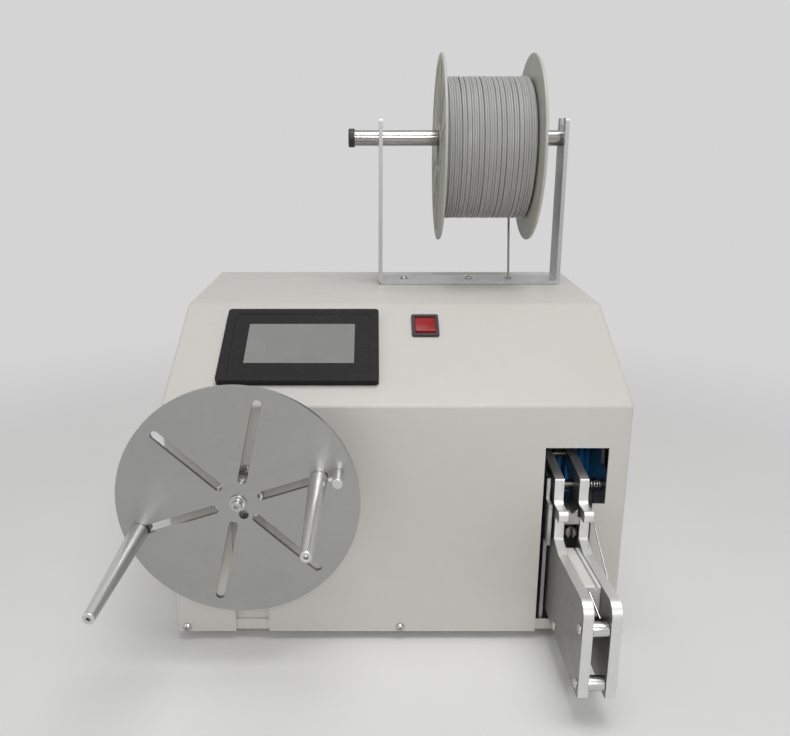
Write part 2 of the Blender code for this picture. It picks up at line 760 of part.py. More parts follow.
def fold_sheet(obj):
    """Rounds an open surface at its bends and gives it the thickness of the sheet, inwards."""
    bend = obj.modifiers.new("bends", "BEVEL")
    bend.width = BEND_RADIUS
    bend.segments = 2
    bend.limit_method = "ANGLE"
    bend.angle_limit = FOLD_SWEEP
    wall = obj.modifiers.new("sheet", "SOLIDIFY")
    wall.thickness = SHEET
    wall.offset = -1
    wall.use_even_offset = True


def slope_cut(label, x, up, width, height):
    """A cutter for a rectangular opening in the hood's slope."""
    reach = (width / 2 + FIT_GAP, height / 2 + FIT_GAP, SHEET + OVERRUN)
    low = (-reach[0], -reach[1], -reach[2])
    return block(label, low, (reach[0], reach[1], OVERRUN), None, on_slope(x, up))


def screen_body_width():
    return SCREEN_WIDTH - 2 * SCREEN_BODY_MARGIN


def screen_body_height():
    return SCREEN_HEIGHT - 2 * SCREEN_BODY_MARGIN


def switch_body_width():
    return SWITCH_WIDTH - 2 * SWITCH_BODY_MARGIN


def switch_body_height():
    return SWITCH_HEIGHT - 2 * SWITCH_BODY_MARGIN


def inlet_body_width():
    return INLET_WIDTH - 2 * INLET_BODY_MARGIN


def inlet_body_height():
    return INLET_HEIGHT - 2 * INLET_BODY_MARGIN


def rectangle(width, height, corner=0):
    half = (width / 2, height / 2)
    corners = [(-half[0], -half[1]), (half[0], -half[1]), (half[0], half[1]), (-half[0], half[1])]
    return fillet([(u, v, corner) if corner else (u, v) for u, v in corners])


def screen():
    """The touch screen: a bezel on the slope, its body behind the sheet and its glass."""
    place = on_slope(SCREEN_X, SCREEN_UP)
    outline = rectangle(SCREEN_WIDTH, SCREEN_HEIGHT, SCREEN_CORNER)
    rise = SCREEN_PROUD / 2 + FIT_GAP
    bezel_place = place @ Matrix.Translation((0, 0, rise))
    case = plate("screen_case", [outline], SCREEN_PROUD, BLACK_PLASTIC, bezel_place, GLASS_RECESS / 2)
    wide = screen_body_width() / 2 - FIT_GAP
    tall = screen_body_height() / 2 - FIT_GAP
    low = (-wide, -tall, -SCREEN_BODY_DEPTH)
    body = block("screen_body", low, (wide, tall, FIT_GAP + SHEET), None, place)
    weld_on(case, body)
    face = FIT_GAP + SCREEN_PROUD
    glass_place = place @ Matrix.Translation((0, GLASS_UP, face - GLASS_RECESS))
    recess_low = (-GLASS_WIDTH / 2 - FIT_GAP, -GLASS_HEIGHT / 2 - FIT_GAP, 0)
    recess_high = (GLASS_WIDTH / 2 + FIT_GAP, GLASS_HEIGHT / 2 + FIT_GAP, GLASS_RECESS + OVERRUN)
    cut(case, block("glass_recess", recess_low, recess_high, None, glass_place))
    glass_low = (-GLASS_WIDTH / 2, -GLASS_HEIGHT / 2, FIT_GAP)
    glass_high = (GLASS_WIDTH / 2, GLASS_HEIGHT / 2, FIT_GAP + GLASS_THICKNESS)
    block("screen_glass", glass_low, glass_high, SCREEN_GREY, glass_place)


def switch():
    """The rocker switch: a frame snapped into the slope and a rocker that tilts in it."""
    place = on_slope(SWITCH_X, SWITCH_UP)
    outline = rectangle(SWITCH_WIDTH, SWITCH_HEIGHT, SWITCH_CORNER)
    rise = SWITCH_PROUD / 2 + FIT_GAP
    frame_place = place @ Matrix.Translation((0, 0, rise))
    frame = plate("switch_frame", [outline], SWITCH_PROUD, BLACK_PLASTIC, frame_place, SWITCH_PROUD / 4)
    wide = switch_body_width() / 2 - FIT_GAP
    tall = switch_body_height() / 2 - FIT_GAP
    low = (-wide, -tall, -SWITCH_BODY_DEPTH)
    body = block("switch_body", low, (wide, tall, FIT_GAP + SWITCH_PROUD / 2), None, place)
    weld_on(frame, body)
    well = (ROCKER_WIDTH / 2 + FIT_GAP, ROCKER_SWING + FIT_GAP)
    depth = -ROCKER_KEEL - SHEET
    well_high = (well[0], well[1], SWITCH_PROUD + OVERRUN)
    cut(frame, block("rocker_well", (-well[0], -well[1], depth), well_high, None, place))

    rim = math.asin(ROCKER_RIM / ROCKER_SWING)
    outline = []
    for step in range(CORNER_STEPS + 1):
        angle = -rim / 2 + ROCKER_END_SHARE * rim * step / CORNER_STEPS
        outline.append((ROCKER_SWING * math.cos(angle), ROCKER_SWING * math.sin(angle)))
    outline.append((0, ROCKER_VALLEY))
    outline += [(-u, v) for u, v in reversed(outline[:-1])]
    outline += [(-ROCKER_KEEL_WIDTH / 2, -ROCKER_KEEL), (ROCKER_KEEL_WIDTH / 2, -ROCKER_KEEL)]
    tilt = Matrix.Rotation(-ROCKER_TILT, 4, "X")
    plate("switch_rocker", [outline], ROCKER_WIDTH, RED_PLASTIC, place @ tilt @ ALONG_X)


def power_inlet():
    """The mains inlet at the back, with its socket."""
    place = at(INLET_X, HOOD_DEPTH, INLET_Z, FACING_BACK)
    outline = rectangle(INLET_WIDTH, INLET_HEIGHT, INLET_CORNER)
    flange_place = place @ Matrix.Translation((0, 0, INLET_PROUD / 2 + FIT_GAP))
    inlet = plate("power_inlet", [outline], INLET_PROUD, BLACK_PLASTIC, flange_place)
    wide = inlet_body_width() / 2
    tall = inlet_body_height() / 2
    body_high = (wide, tall, INLET_PROUD / 2)
    weld_on(inlet, block("inlet_body", (-wide, -tall, -INLET_BODY_DEPTH), body_high, None, place))
    wide = INLET_WIDTH / 2 - 2 * INLET_SOCKET_MARGIN
    tall = INLET_HEIGHT / 2 - INLET_SOCKET_MARGIN
    floor = FIT_GAP + INLET_PROUD - INLET_SOCKET_DEPTH
    socket_high = (wide, tall, INLET_PROUD + OVERRUN)
    cut(inlet, block("inlet_socket", (-wide, -tall, floor), socket_high, None, place))


def winding_drive():
    """The bracket, bearing, spindle, coupling and motor behind the winding disc."""
    half = BRACKET_WIDTH / 2
    top = BRACKET_FRONT_HEIGHT
    inner = BRACKET_FRONT + BRACKET_SHEET
    channel = [
        (BRACKET_FRONT, TRAY_FLOOR, BEND_RADIUS),
        (BRACKET_BACK, TRAY_FLOOR, BEND_RADIUS),
        (BRACKET_BACK, BRACKET_REAR_HEIGHT),
        (BRACKET_BACK - BRACKET_SHEET, BRACKET_REAR_HEIGHT),
        (BRACKET_BACK - BRACKET_SHEET, TRAY_FLOOR + BRACKET_SHEET),
        (inner, TRAY_FLOOR + BRACKET_SHEET),
        (inner, top),
        (BRACKET_FRONT, top),
    ]
    place = at(DISC_X, 0, 0, ALONG_X)
    bracket = plate("winding_bracket", [fillet(channel)], 2 * half, ZINC_SHEET, place)
    for label, y in (("bearing_bore", inner), ("motor_bore", BRACKET_BACK)):
        start = (DISC_X, y, DISC_Z)
        cut(bracket, hole(label, BRACKET_HOLE_RADIUS, start, BRACKET_SHEET, FACING_FRONT, ROUND_SIDES))

    bore_radius = SPINDLE_RADIUS + FIT_GAP
    bearing = [
        (BEARING_FLANGE_RADIUS, BEARING_LENGTH),
        (BEARING_FLANGE_RADIUS, BEARING_LENGTH - BEARING_FLANGE),
        (BEARING_BARREL_RADIUS, BEARING_LENGTH - BEARING_FLANGE),
        (BEARING_BARREL_RADIUS, 0),
        (bore_radius, 0),
        (bore_radius, BEARING_LENGTH),
    ]
    bearing_place = at(DISC_X, inner + FIT_GAP + BEARING_LENGTH, DISC_Z, FACING_FRONT)
    turned("bearing_housing", bearing, SATIN_ALUMINIUM, bearing_place, closed=True)

    coupling_back = BRACKET_BACK - BRACKET_SHEET
    coupling_front = coupling_back - COUPLING_LENGTH
    spindle_end = coupling_front + COUPLING_GRIP - FIT_GAP
    flange_front = DISC_BACK + FIT_GAP
    length = spindle_end - flange_front
    spindle = [
        (0, length),
        (SPINDLE_FLANGE_RADIUS, length),
        (SPINDLE_FLANGE_RADIUS, length - SPINDLE_FLANGE),
        (SPINDLE_RADIUS, length - SPINDLE_FLANGE),
        (SPINDLE_RADIUS, 0),
        (0, 0),
    ]
    spindle_place = at(DISC_X, spindle_end, DISC_Z, FACING_FRONT)
    shaft = turned("spindle", spindle, POLISHED_STEEL, spindle_place)
    tap_end = flange_front + DISC_SCREW_DEPTH
    tap_radius = DISC_SCREW_RADIUS + FIT_GAP
    tap = hole("spindle_tap", tap_radius, (DISC_X, tap_end, DISC_Z), DISC_SCREW_DEPTH, FACING_FRONT)
    cut(shaft, tap, index_hole(flange_front + SPINDLE_FLANGE, SPINDLE_FLANGE))

    bore_radius = SPINDLE_RADIUS + FIT_GAP
    stub = BRACKET_SHEET + MOTOR_NOSE_DEPTH - OVERRUN
    coupling = [
        (0, COUPLING_LENGTH + stub - COUPLING_GRIP),
        (bore_radius, COUPLING_LENGTH + stub - COUPLING_GRIP),
        (bore_radius, COUPLING_LENGTH + stub),
        (COUPLING_RADIUS, COUPLING_LENGTH + stub),
        (COUPLING_RADIUS, stub + FIT_GAP),
        (MOTOR_SHAFT_RADIUS, stub + FIT_GAP),
        (MOTOR_SHAFT_RADIUS, 0),
        (0, 0),
    ]
    coupling_place = at(DISC_X, coupling_back + stub, DISC_Z, FACING_FRONT)
    turned("shaft_coupling", coupling, SATIN_ALUMINIUM, coupling_place)

    side = WINDING_MOTOR_SIDE
    front = BRACKET_BACK + FIT_GAP
    middle = front + WINDING_MOTOR_LENGTH / 2
    outline = rectangle(side, side, MOTOR_CORNER)
    motor_place = at(DISC_X, middle, DISC_Z, FACING_FRONT)
    motor = plate("winding_motor", [outline], WINDING_MOTOR_LENGTH, DARK_STEEL, motor_place)
    nose_y = front + MOTOR_NOSE_DEPTH - OVERRUN
    cut(motor, motor_nose("winding_nose", DISC_X, nose_y, DISC_Z, FACING_FRONT, MOTOR_SHAFT_RADIUS))


def index_hole(start, length):
    where = (DISC_X + INDEX_HOLE_X, start, DISC_Z + INDEX_HOLE_Z)
    return hole("index_hole", INDEX_HOLE_RADIUS, where, length, FACING_FRONT)


def slot_angle(index):
    return SLOT_START + index * FULL_TURN / SLOT_COUNT


def winding_disc():
    """The slotted disc, its screw, the two posts with their nuts, and the clamp pin."""
    face = at(DISC_X, DISC_BACK - DISC_THICKNESS / 2, DISC_Z, FACING_FRONT)
    half = SLOT_WIDTH / 2
    slot = fillet(
        [
            (SLOT_INNER, -half, half - FIT_GAP),
            (SLOT_OUTER, -half, half - FIT_GAP),
            (SLOT_OUTER, half, half - FIT_GAP),
            (SLOT_INNER, half, half - FIT_GAP),
        ]
    )
    outlines = [circle(DISC_RADIUS, BIG_SIDES), circle(DISC_SCREW_RADIUS + FIT_GAP, TINY_SIDES)]
    outlines.append(circle(INDEX_HOLE_RADIUS, TINY_SIDES, (INDEX_HOLE_X, INDEX_HOLE_Z)))
    for index in range(SLOT_COUNT):
        turn = Matrix.Rotation(slot_angle(index), 2)
        outlines.append([turn @ corner for corner in slot])
    plate("winding_disc", outlines, DISC_THICKNESS, BRUSHED_ALUMINIUM, face)

    seat = -DISC_REACH - FIT_GAP
    shank = DISC_THICKNESS + DISC_SCREW_DEPTH - OVERRUN
    top = DISC_WASHER + DISC_SCREW_HEAD_HEIGHT
    screw = [
        (0, top),
        (DISC_SCREW_HEAD, top),
        (DISC_SCREW_HEAD, DISC_WASHER),
        (DISC_WASHER_RADIUS, DISC_WASHER),
        (DISC_WASHER_RADIUS, 0),
        (DISC_SCREW_RADIUS, 0),
        (DISC_SCREW_RADIUS, -shank),
        (0, -shank),
    ]
    screw_place = at(DISC_X, seat, DISC_Z, FACING_FRONT)
    head = turned("disc_screw", screw, POLISHED_STEEL, screw_place, SMALL_SIDES)
    hex_place = screw_place @ Matrix.Translation((0, 0, top - HEX_DEPTH))
    cut(head, rod("disc_screw_hex", HEX_RADIUS, HEX_DEPTH + OVERRUN, None, hex_place, HEX_SIDES))

    post = [
        (0, POST_LENGTH - POST_TIP_HOLE_DEPTH),
        (POST_TIP_HOLE, POST_LENGTH - POST_TIP_HOLE_DEPTH),
        (POST_TIP_HOLE, POST_LENGTH),
        (POST_TIP_RADIUS - POST_TIP_ROUND, POST_LENGTH),
        (POST_TIP_RADIUS, POST_LENGTH - POST_TIP_ROUND),
        (POST_BASE_RADIUS, POST_COLLAR),
        (POST_BASE_RADIUS, 0),
        (STUD_RADIUS, 0),
        (STUD_RADIUS, -STUD_LENGTH),
        (0, -STUD_LENGTH),
    ]
    nut = [circle(POST_NUT_RADIUS, HEX_SIDES), circle(STUD_RADIUS + FIT_GAP, SMALL_SIDES)]
    posts = (("left", LEFT_POST_SLOT, LEFT_POST_RADIUS), ("right", RIGHT_POST_SLOT, RIGHT_POST_RADIUS))
    for side, index, radius in posts:
        x = DISC_X + radius * math.cos(slot_angle(index))
        z = DISC_Z + radius * math.sin(slot_angle(index))
        turned(f"post_{side}", post, SATIN_ALUMINIUM, at(x, seat, z, FACING_FRONT), SMALL_SIDES)
        nut_y = DISC_BACK + FIT_GAP + POST_NUT / 2
        plate(f"post_nut_{side}", nut, POST_NUT, POLISHED_STEEL, at(x, nut_y, z, FACING_FRONT))

    x = DISC_X + LEFT_POST_RADIUS * math.cos(slot_angle(RIGHT_POST_SLOT))
    z = DISC_Z + LEFT_POST_RADIUS * math.sin(slot_angle(RIGHT_POST_SLOT))
    pin = [
        (0, CLAMP_PIN_LENGTH),
        (CLAMP_PIN_RADIUS - POST_TIP_ROUND, CLAMP_PIN_LENGTH),
        (CLAMP_PIN_RADIUS, CLAMP_PIN_LENGTH - POST_TIP_ROUND),
        (CLAMP_PIN_RADIUS, 0),
        (STUD_RADIUS, 0),
        (STUD_RADIUS, -DISC_THICKNESS),
        (0, -DISC_THICKNESS),
    ]
    clamp = turned("clamp_pin", pin, SATIN_ALUMINIUM, at(x, seat, z, FACING_FRONT), SMALL_SIDES)
    reach = LEFT_POST_RADIUS - RIGHT_POST_RADIUS - POST_BASE_RADIUS - CLAMP_BOSS_GAP
    inward = Matrix.Rotation(-QUARTER - slot_angle(RIGHT_POST_SLOT), 4, "Y")
    boss_place = at(x, seat - CLAMP_BOSS_OUT, z, inward)
    weld_on(clamp, rod("clamp_boss", CLAMP_BOSS_RADIUS, reach, None, boss_place, TINY_SIDES))


def spool_stand():
    """The bent bar on the hood, its screws, the loose shaft in its notches and the shaft's cap."""
    left, right, thick = STAND_LEFT, STAND_RIGHT, STAND_BAR
    top = STAND_BASE + STAND_HEIGHT - FIT_GAP
    outline = [
        (left, STAND_BASE, STAND_BEND),
        (right, STAND_BASE, STAND_BEND),
        (right, top),
        (right - thick, top),
        (right - thick, STAND_FLOOR, STAND_BEND / 4),
        (left + thick, STAND_FLOOR, STAND_BEND / 4),
        (left + thick, top),
        (left, top),
    ]
    place = at(0, STAND_MID_Y, 0, FACING_FRONT)
    stand = plate("spool_stand", [fillet(outline)], STAND_BAR_WIDTH, SATIN_ALUMINIUM, place)
    notch = SHAFT_RADIUS + FIT_GAP
    low = (left - OVERRUN, STAND_MID_Y - notch, SHAFT_Z)
    high = (right + OVERRUN, STAND_MID_Y + notch, top + OVERRUN)
    seat = hole("shaft_seat", notch, (left, STAND_MID_Y, SHAFT_Z), right - left, ALONG_X, ROUND_SIDES)
    cut(stand, block("shaft_notch", low, high, None), seat)
    start = (WIRE_HOLE_X, STAND_MID_Y, STAND_BASE)
    cut(stand, hole("stand_wire_hole", WIRE_HOLE_RADIUS, start, thick, UPRIGHT))
    for x, side in zip(STAND_SCREW_XS, ("left", "right")):
        start = (x, STAND_MID_Y, STAND_BASE)
        cut(stand, hole("stand_bolt_hole", SCREW_RADIUS + FIT_GAP, start, thick, UPRIGHT, TINY_SIDES))
        pan_screw(f"stand_screw_{side}", at(x, STAND_MID_Y, STAND_FLOOR))

    length = SHAFT_RIGHT - SHAFT_LEFT
    shaft = [
        (0, length),
        (SHAFT_RADIUS - SHAFT_CHAMFER, length),
        (SHAFT_RADIUS, length - SHAFT_CHAMFER),
        (SHAFT_RADIUS, 0),
        (0, 0),
    ]
    turned("spool_shaft", shaft, POLISHED_STEEL, at(SHAFT_LEFT, STAND_MID_Y, SHAFT_Z, ALONG_X))
    inner = SHAFT_RADIUS + FIT_GAP
    outer = inner + CAP_WALL
    cap = [
        (0, CAP_END),
        (inner, CAP_END),
        (inner, CAP_LENGTH),
        (outer, CAP_LENGTH),
        (outer, 0),
        (0, 0),
    ]
    cap_place = at(SHAFT_LEFT - CAP_END - FIT_GAP, STAND_MID_Y, SHAFT_Z, ALONG_X)
    turned("shaft_cap", cap, BLACK_PLASTIC, cap_place)


def spool():
    """The wire spool, the bed of its inner turns and its outer layer of turns."""
    width = SPOOL_RIGHT - SPOOL_LEFT
    profile = [
        (SPOOL_RADIUS, width),
        (SPOOL_RADIUS, width - SPOOL_RIM),
        (SPOOL_HUB_RADIUS, width - SPOOL_FLANGE),
        (SPOOL_HUB_RADIUS, SPOOL_FLANGE),
        (SPOOL_RADIUS, SPOOL_RIM),
        (SPOOL_RADIUS, 0),
        (SPOOL_BORE_RADIUS, 0),
        (SPOOL_BORE_RADIUS, width),
    ]
    place = at(SPOOL_LEFT, STAND_MID_Y, SPOOL_Z, ALONG_X)
    reel = turned("spool", profile, SPOOL_PLASTIC, place, SPOOL_SIDES, closed=True)
    hole_z = SPOOL_Z + SPOOL_RADIUS - SPOOL_HOLE_INSET
    start = (SPOOL_RIGHT - SPOOL_FLANGE, STAND_MID_Y, hole_z)
    cut(reel, hole("wire_end_hole", SPOOL_HOLE_RADIUS, start, SPOOL_FLANGE, ALONG_X, TINY_SIDES))

    inner = SPOOL_FLANGE + FIT_GAP
    run = width - 2 * inner
    chord_radius = (WOUND_RADIUS - WIRE_RADIUS) * math.cos(math.pi / TURN_POINTS)
    bed_radius = chord_radius - WIRE_RADIUS - FIT_GAP
    bed = [
        (bed_radius, width - inner),
        (bed_radius, inner),
        (SPOOL_HUB_RADIUS + FIT_GAP, inner),
        (SPOOL_HUB_RADIUS + FIT_GAP, width - inner),
    ]
    turned("wound_bed", bed, WIRE_COAT, place, SPOOL_SIDES, closed=True)

    pitch = (run - 2 * WIRE_RADIUS - 2 * FIT_GAP) / WOUND_TURNS
    first = inner + WIRE_RADIUS + FIT_GAP
    radius = WOUND_RADIUS - WIRE_RADIUS
    points = []
    for step in range(WOUND_TURNS * TURN_POINTS + 1):
        angle = FULL_TURN * step / TURN_POINTS
        along = first + pitch * step / TURN_POINTS
        points.append((radius * math.cos(angle), radius * math.sin(angle), along))
    tube("wound_wire", points, WIRE_RADIUS, WIRE_COAT, 1, place)
    print("wound_wire least gap to itself, mm:", round(least_gap(points, WIRE_RADIUS) / MILLIMETRE, 2))


def least_gap(points, radius):
    """The smallest clear distance between stretches of a wire that aren't neighbours along it."""
    places = np.array(points)
    steps = np.linalg.norm(np.diff(places, axis=0), axis=1)
    along = np.concatenate(([0], np.cumsum(steps)))
    least = math.inf
    for index, here in enumerate(places):
        far = np.abs(along - along[index]) > NEIGHBOUR_RADII * radius
        least = min(least, np.linalg.norm(places[far] - here, axis=1).min())
    return least - 2 * radius


def tie_wire():
    """The run of tie wire from the spool, through the hood's top and down to the feed rollers."""
    reach = WOUND_RADIUS + FIT_GAP + WIRE_RADIUS
    drop = SPOOL_Z - STAND_FLOOR
    lean = math.asin(reach / drop)
    start = (
        WIRE_TAKE_OFF_X,
        STAND_MID_Y + reach * math.cos(lean),
        SPOOL_Z - reach * math.sin(lean),
    )
    points = [start, (WIRE_HOLE_X, STAND_MID_Y, STAND_FLOOR)]
    bend_z = WIRE_FEED_Z + WIRE_BEND
    bend_y = STAND_MID_Y - WIRE_BEND
    for step in range(WIRE_BEND_STEPS + 1):
        angle = QUARTER * step / WIRE_BEND_STEPS
        y = bend_y + WIRE_BEND * math.cos(angle)
        points.append((WIRE_X, y, bend_z - WIRE_BEND * math.sin(angle)))
    points.append((WIRE_X, WIRE_END_Y, WIRE_FEED_Z))
    tube("tie_wire", points, WIRE_RADIUS, WIRE_COAT, 1)


def tying_arm():
    """The two arm plates, the spacers between them, the white guide block and its bar."""
    outline = [
        (ARM_FRONT, ARM_BOTTOM, ARM_TOE_ROUND),
        (BEARING_PLATE_Y - FIT_GAP, ARM_BOTTOM),
        (BEARING_PLATE_Y - FIT_GAP, TAIL_TOP),
        (ARM_BACK, TAIL_TOP),
        (ARM_BACK, ARM_BACK_TOP),
        (NECK_BACK, ARM_BACK_TOP),
        (NECK_BACK, NECK_TOP),
        (NECK_FRONT, NECK_TOP),
        (NECK_FRONT, NECK_CHAMFER_Z),
        (ARM_THROAT_Y, ARM_THROAT_TOP),
        (ARM_FRONT, ARM_NOSE_TOP, ARM_NOSE_ROUND),
    ]
    spacers = {
        "front_spacer_upper": (SPACER_Y, SPACER_UPPER_Z),
        "front_spacer_lower": (SPACER_Y, SPACER_LOWER_Z),
        "rear_spacer": (REAR_SPACER_Y, REAR_SPACER_Z),
    }
    plates = []
    for side, left in (("left", ARM_LEFT), ("right", ARM_INNER_RIGHT)):
        place = at(left + ARM_PLATE / 2, 0, 0, ALONG_X)
        name = f"arm_plate_{side}"
        plates.append(plate(name, [fillet(outline)], ARM_PLATE, SATIN_ALUMINIUM, place, PLATE_BEVEL))
    stud = SPACER_STUD_RADIUS
    for name, (y, z) in spacers.items():
        for each in plates:
            cut(each, hole(name + "_hole", stud + FIT_GAP, (ARM_LEFT, y, z), ARM_RIGHT - ARM_LEFT, ALONG_X))
        gap = FIT_GAP
        start = ARM_LEFT - gap - SPACER_HEAD
        ends = [ARM_RIGHT + gap, ARM_INNER_RIGHT - gap, ARM_INNER_LEFT + gap, ARM_LEFT - gap]
        ends = [x - start for x in ends]
        profile = [
            (0, ends[0] + SPACER_HEAD),
            (SPACER_HEAD_RADIUS, ends[0] + SPACER_HEAD),
            (SPACER_HEAD_RADIUS, ends[0]),
            (stud, ends[0]),
            (stud, ends[1]),
            (SPACER_RADIUS, ends[1]),
            (SPACER_RADIUS, ends[2]),
            (stud, ends[2]),
            (stud, ends[3]),
            (SPACER_HEAD_RADIUS, ends[3]),
            (SPACER_HEAD_RADIUS, 0),
            (0, 0),
        ]
        turned(name, profile, POLISHED_STEEL, at(start, y, z, ALONG_X), SMALL_SIDES)

    rise = (ARM_NOSE_TOP - ARM_THROAT_TOP) / (ARM_THROAT_Y - ARM_FRONT)
    front_top = ARM_THROAT_TOP + rise * (ARM_THROAT_Y - GUIDE_FRONT) - GUIDE_SETBACK
    back_top = ARM_THROAT_TOP + rise * (ARM_THROAT_Y - GUIDE_BACK) - GUIDE_SETBACK
    side = [
        (GUIDE_FRONT, front_top - GUIDE_DEPTH),
        (GUIDE_BACK, back_top - GUIDE_DEPTH),
        (GUIDE_BACK, back_top),
        (GUIDE_FRONT, front_top),
    ]
    width = ARM_GAP - 2 * FIT_GAP
    guide = plate("guide_block", [side], width, WHITE_PLASTIC, at(ARM_MID, 0, 0, ALONG_X), PLATE_BEVEL)
    groove_x = ARM_MID + GUIDE_GROOVE
    low = (groove_x, GUIDE_FRONT - OVERRUN, front_top - GUIDE_GROOVE_DEPTH)
    high = (groove_x + GUIDE_GROOVE, GUIDE_BACK + OVERRUN, front_top + OVERRUN)
    cut(guide, block("guide_groove", low, high, None))

    reach = SPACER_RADIUS + FIT_GAP + GUIDE_BAR_RADIUS
    start_y = GUIDE_FRONT - FIT_GAP - GUIDE_BAR_RADIUS
    start = Vector((ARM_MID + GUIDE_BAR_START_X, start_y, front_top - GUIDE_BAR_START_DROP))
    end_y = SPACER_Y + reach * math.cos(QUARTER / 2)
    end = Vector((ARM_MID + GUIDE_BAR_END_X, end_y, SPACER_UPPER_Z + reach * math.sin(QUARTER / 2)))
    tube("guide_bar", [start, end], GUIDE_BAR_RADIUS, POLISHED_STEEL, 2)

    half = ARM_GAP / 2 - FIT_GAP
    stem_low = (ARM_MID - half, CUTTER_FRONT, CUTTER_BOTTOM)
    stem_high = (ARM_MID + half, CUTTER_BACK, CUTTER_STEM_TOP)
    cutter = block("wire_cutter", stem_low, stem_high, DARK_STEEL)
    head_low = (ARM_MID - CUTTER_WIDTH / 2, CUTTER_FRONT, (CUTTER_BOTTOM + CUTTER_STEM_TOP) / 2)
    head_high = (ARM_MID + CUTTER_WIDTH / 2, -CUTTER_FRONT, CUTTER_TOP)
    weld_on(cutter, block("cutter_head", head_low, head_high, None))
    notch_turn = at(ARM_MID, CUTTER_FRONT - OVERRUN, CUTTER_TOP) @ Matrix.Rotation(QUARTER / 2, 4, "Y")
    notch = (CUTTER_NOTCH / 2, -2 * CUTTER_FRONT + 2 * OVERRUN, CUTTER_NOTCH / 2)
    cut(cutter, block("cutter_notch", (-notch[0], 0, -notch[2]), notch, None, notch_turn))


def upper_jaws():
    """The two sprung jaws on their pin, the bar that joins their tails, and the cam that lifts them."""
    outline = [
        (JAW_FRONT, JAW_FRONT_TOP, JAW_ROUND / 2),
        (JAW_FRONT, JAW_FRONT_FOOT),
        (JAW_TIP, JAW_TIP_TOP, JAW_TIP_ROUND),
        (JAW_TIP, JAW_BOTTOM, JAW_TIP_ROUND),
        (JAW_HEEL_Y, JAW_BOTTOM, JAW_ROUND),
        (JAW_TAIL_Y, JAW_TAIL_FOOT, JAW_ROUND),
        (JAW_BACK, JAW_TAIL_BOTTOM, JAW_ROUND),
        (JAW_BACK, JAW_BACK_TOP, JAW_ROUND),
        (JAW_TAIL_Y, JAW_BACK_TOP, JAW_ROUND),
    ]
    pivot = Vector((PIVOT_Y, PIVOT_Z))
    own = [(c[0] - pivot[0], c[1] - pivot[1], *c[2:]) for c in outline]
    own_outline = fillet(own)
    for side, left in (("left", ARM_LEFT), ("right", ARM_INNER_RIGHT)):
        place = at(left + ARM_PLATE / 2, PIVOT_Y, PIVOT_Z, ALONG_X)
        jaw = plate(f"upper_jaw_{side}", [own_outline], ARM_PLATE, SATIN_ALUMINIUM, place, PLATE_BEVEL)
        start = (left, PIVOT_Y, PIVOT_Z)
        cut(jaw, hole("jaw_bore", PIVOT_RADIUS + FIT_GAP, start, ARM_PLATE, ALONG_X))
        start = (left, BAR_Y, BAR_Z)
        cut(jaw, hole("bar_bore", BAR_RADIUS + FIT_GAP, start, ARM_PLATE, ALONG_X))
    rod("jaw_bar", BAR_RADIUS, ARM_RIGHT - ARM_LEFT, POLISHED_STEEL, at(ARM_LEFT, BAR_Y, BAR_Z, ALONG_X))

    start = CHEEK_LEFT - FIT_GAP - PIVOT_HEAD
    end = FRAME_RIGHT + FIT_GAP + PIVOT_HEAD
    pin = [
        (0, end - start),
        (PIVOT_HEAD_RADIUS, end - start),
        (PIVOT_HEAD_RADIUS, end - start - PIVOT_HEAD),
        (PIVOT_RADIUS, end - start - PIVOT_HEAD),
        (PIVOT_RADIUS, PIVOT_HEAD),
        (PIVOT_HEAD_RADIUS, PIVOT_HEAD),
        (PIVOT_HEAD_RADIUS, 0),
        (0, 0),
    ]
    turned("jaw_pivot_pin", pin, POLISHED_STEEL, at(start, PIVOT_Y, PIVOT_Z, ALONG_X), SMALL_SIDES)

    leg = Vector((SPRING_LEG_Y - PIVOT_Y, SPRING_LEG_Z - PIVOT_Z))
    aim = math.atan2(leg.y, leg.x)
    lean = math.acos(SPRING_RADIUS / leg.length)
    first = aim + lean
    x = ARM_RIGHT + SPRING_GAP
    points = [(x, SPRING_LEG_Y, SPRING_LEG_Z)]
    for step in range(SPRING_CURLS * CURL_POINTS + 1):
        angle = first + FULL_TURN * step / CURL_POINTS
        y = PIVOT_Y + SPRING_RADIUS * math.cos(angle)
        z = PIVOT_Z + SPRING_RADIUS * math.sin(angle)
        points.append((x + SPRING_PITCH * step / CURL_POINTS, y, z))
    away = first + QUARTER
    last = Vector(points[-1])
    points.append(last + Vector((0, math.cos(away), math.sin(away))) * SPRING_TAIL)
    tube("jaw_spring", points, SPRING_WIRE_RADIUS, POLISHED_STEEL, 1)
    coil = points[1:-1]
    print("jaw_spring least gap to itself, mm:", round(least_gap(coil, SPRING_WIRE_RADIUS) / MILLIMETRE, 2))

    cam_radius = CAM_NEAR + CAM_THROW
    axis = at(ARM_MID - CAM_WIDTH / 2, BAR_Y, CAM_Z, ALONG_X)
    lobe_place = axis @ Matrix.Translation((0, CAM_THROW, 0))
    cam = rod("jaw_cam", cam_radius, CAM_WIDTH, DARK_STEEL, lobe_place, ROUND_SIDES)
    motor_face = CHEEK_LEFT - FIT_GAP
    shaft_start = motor_face - MOTOR_NOSE_DEPTH / 2
    length = ARM_MID - shaft_start
    shaft = rod("cam_shaft", CAM_SHAFT_RADIUS, length, None, at(shaft_start, BAR_Y, CAM_Z, ALONG_X))
    weld_on(cam, shaft)
    square_motor("jaw_motor", motor_face, BAR_Y, CAM_Z, -1, CAM_SHAFT_RADIUS)


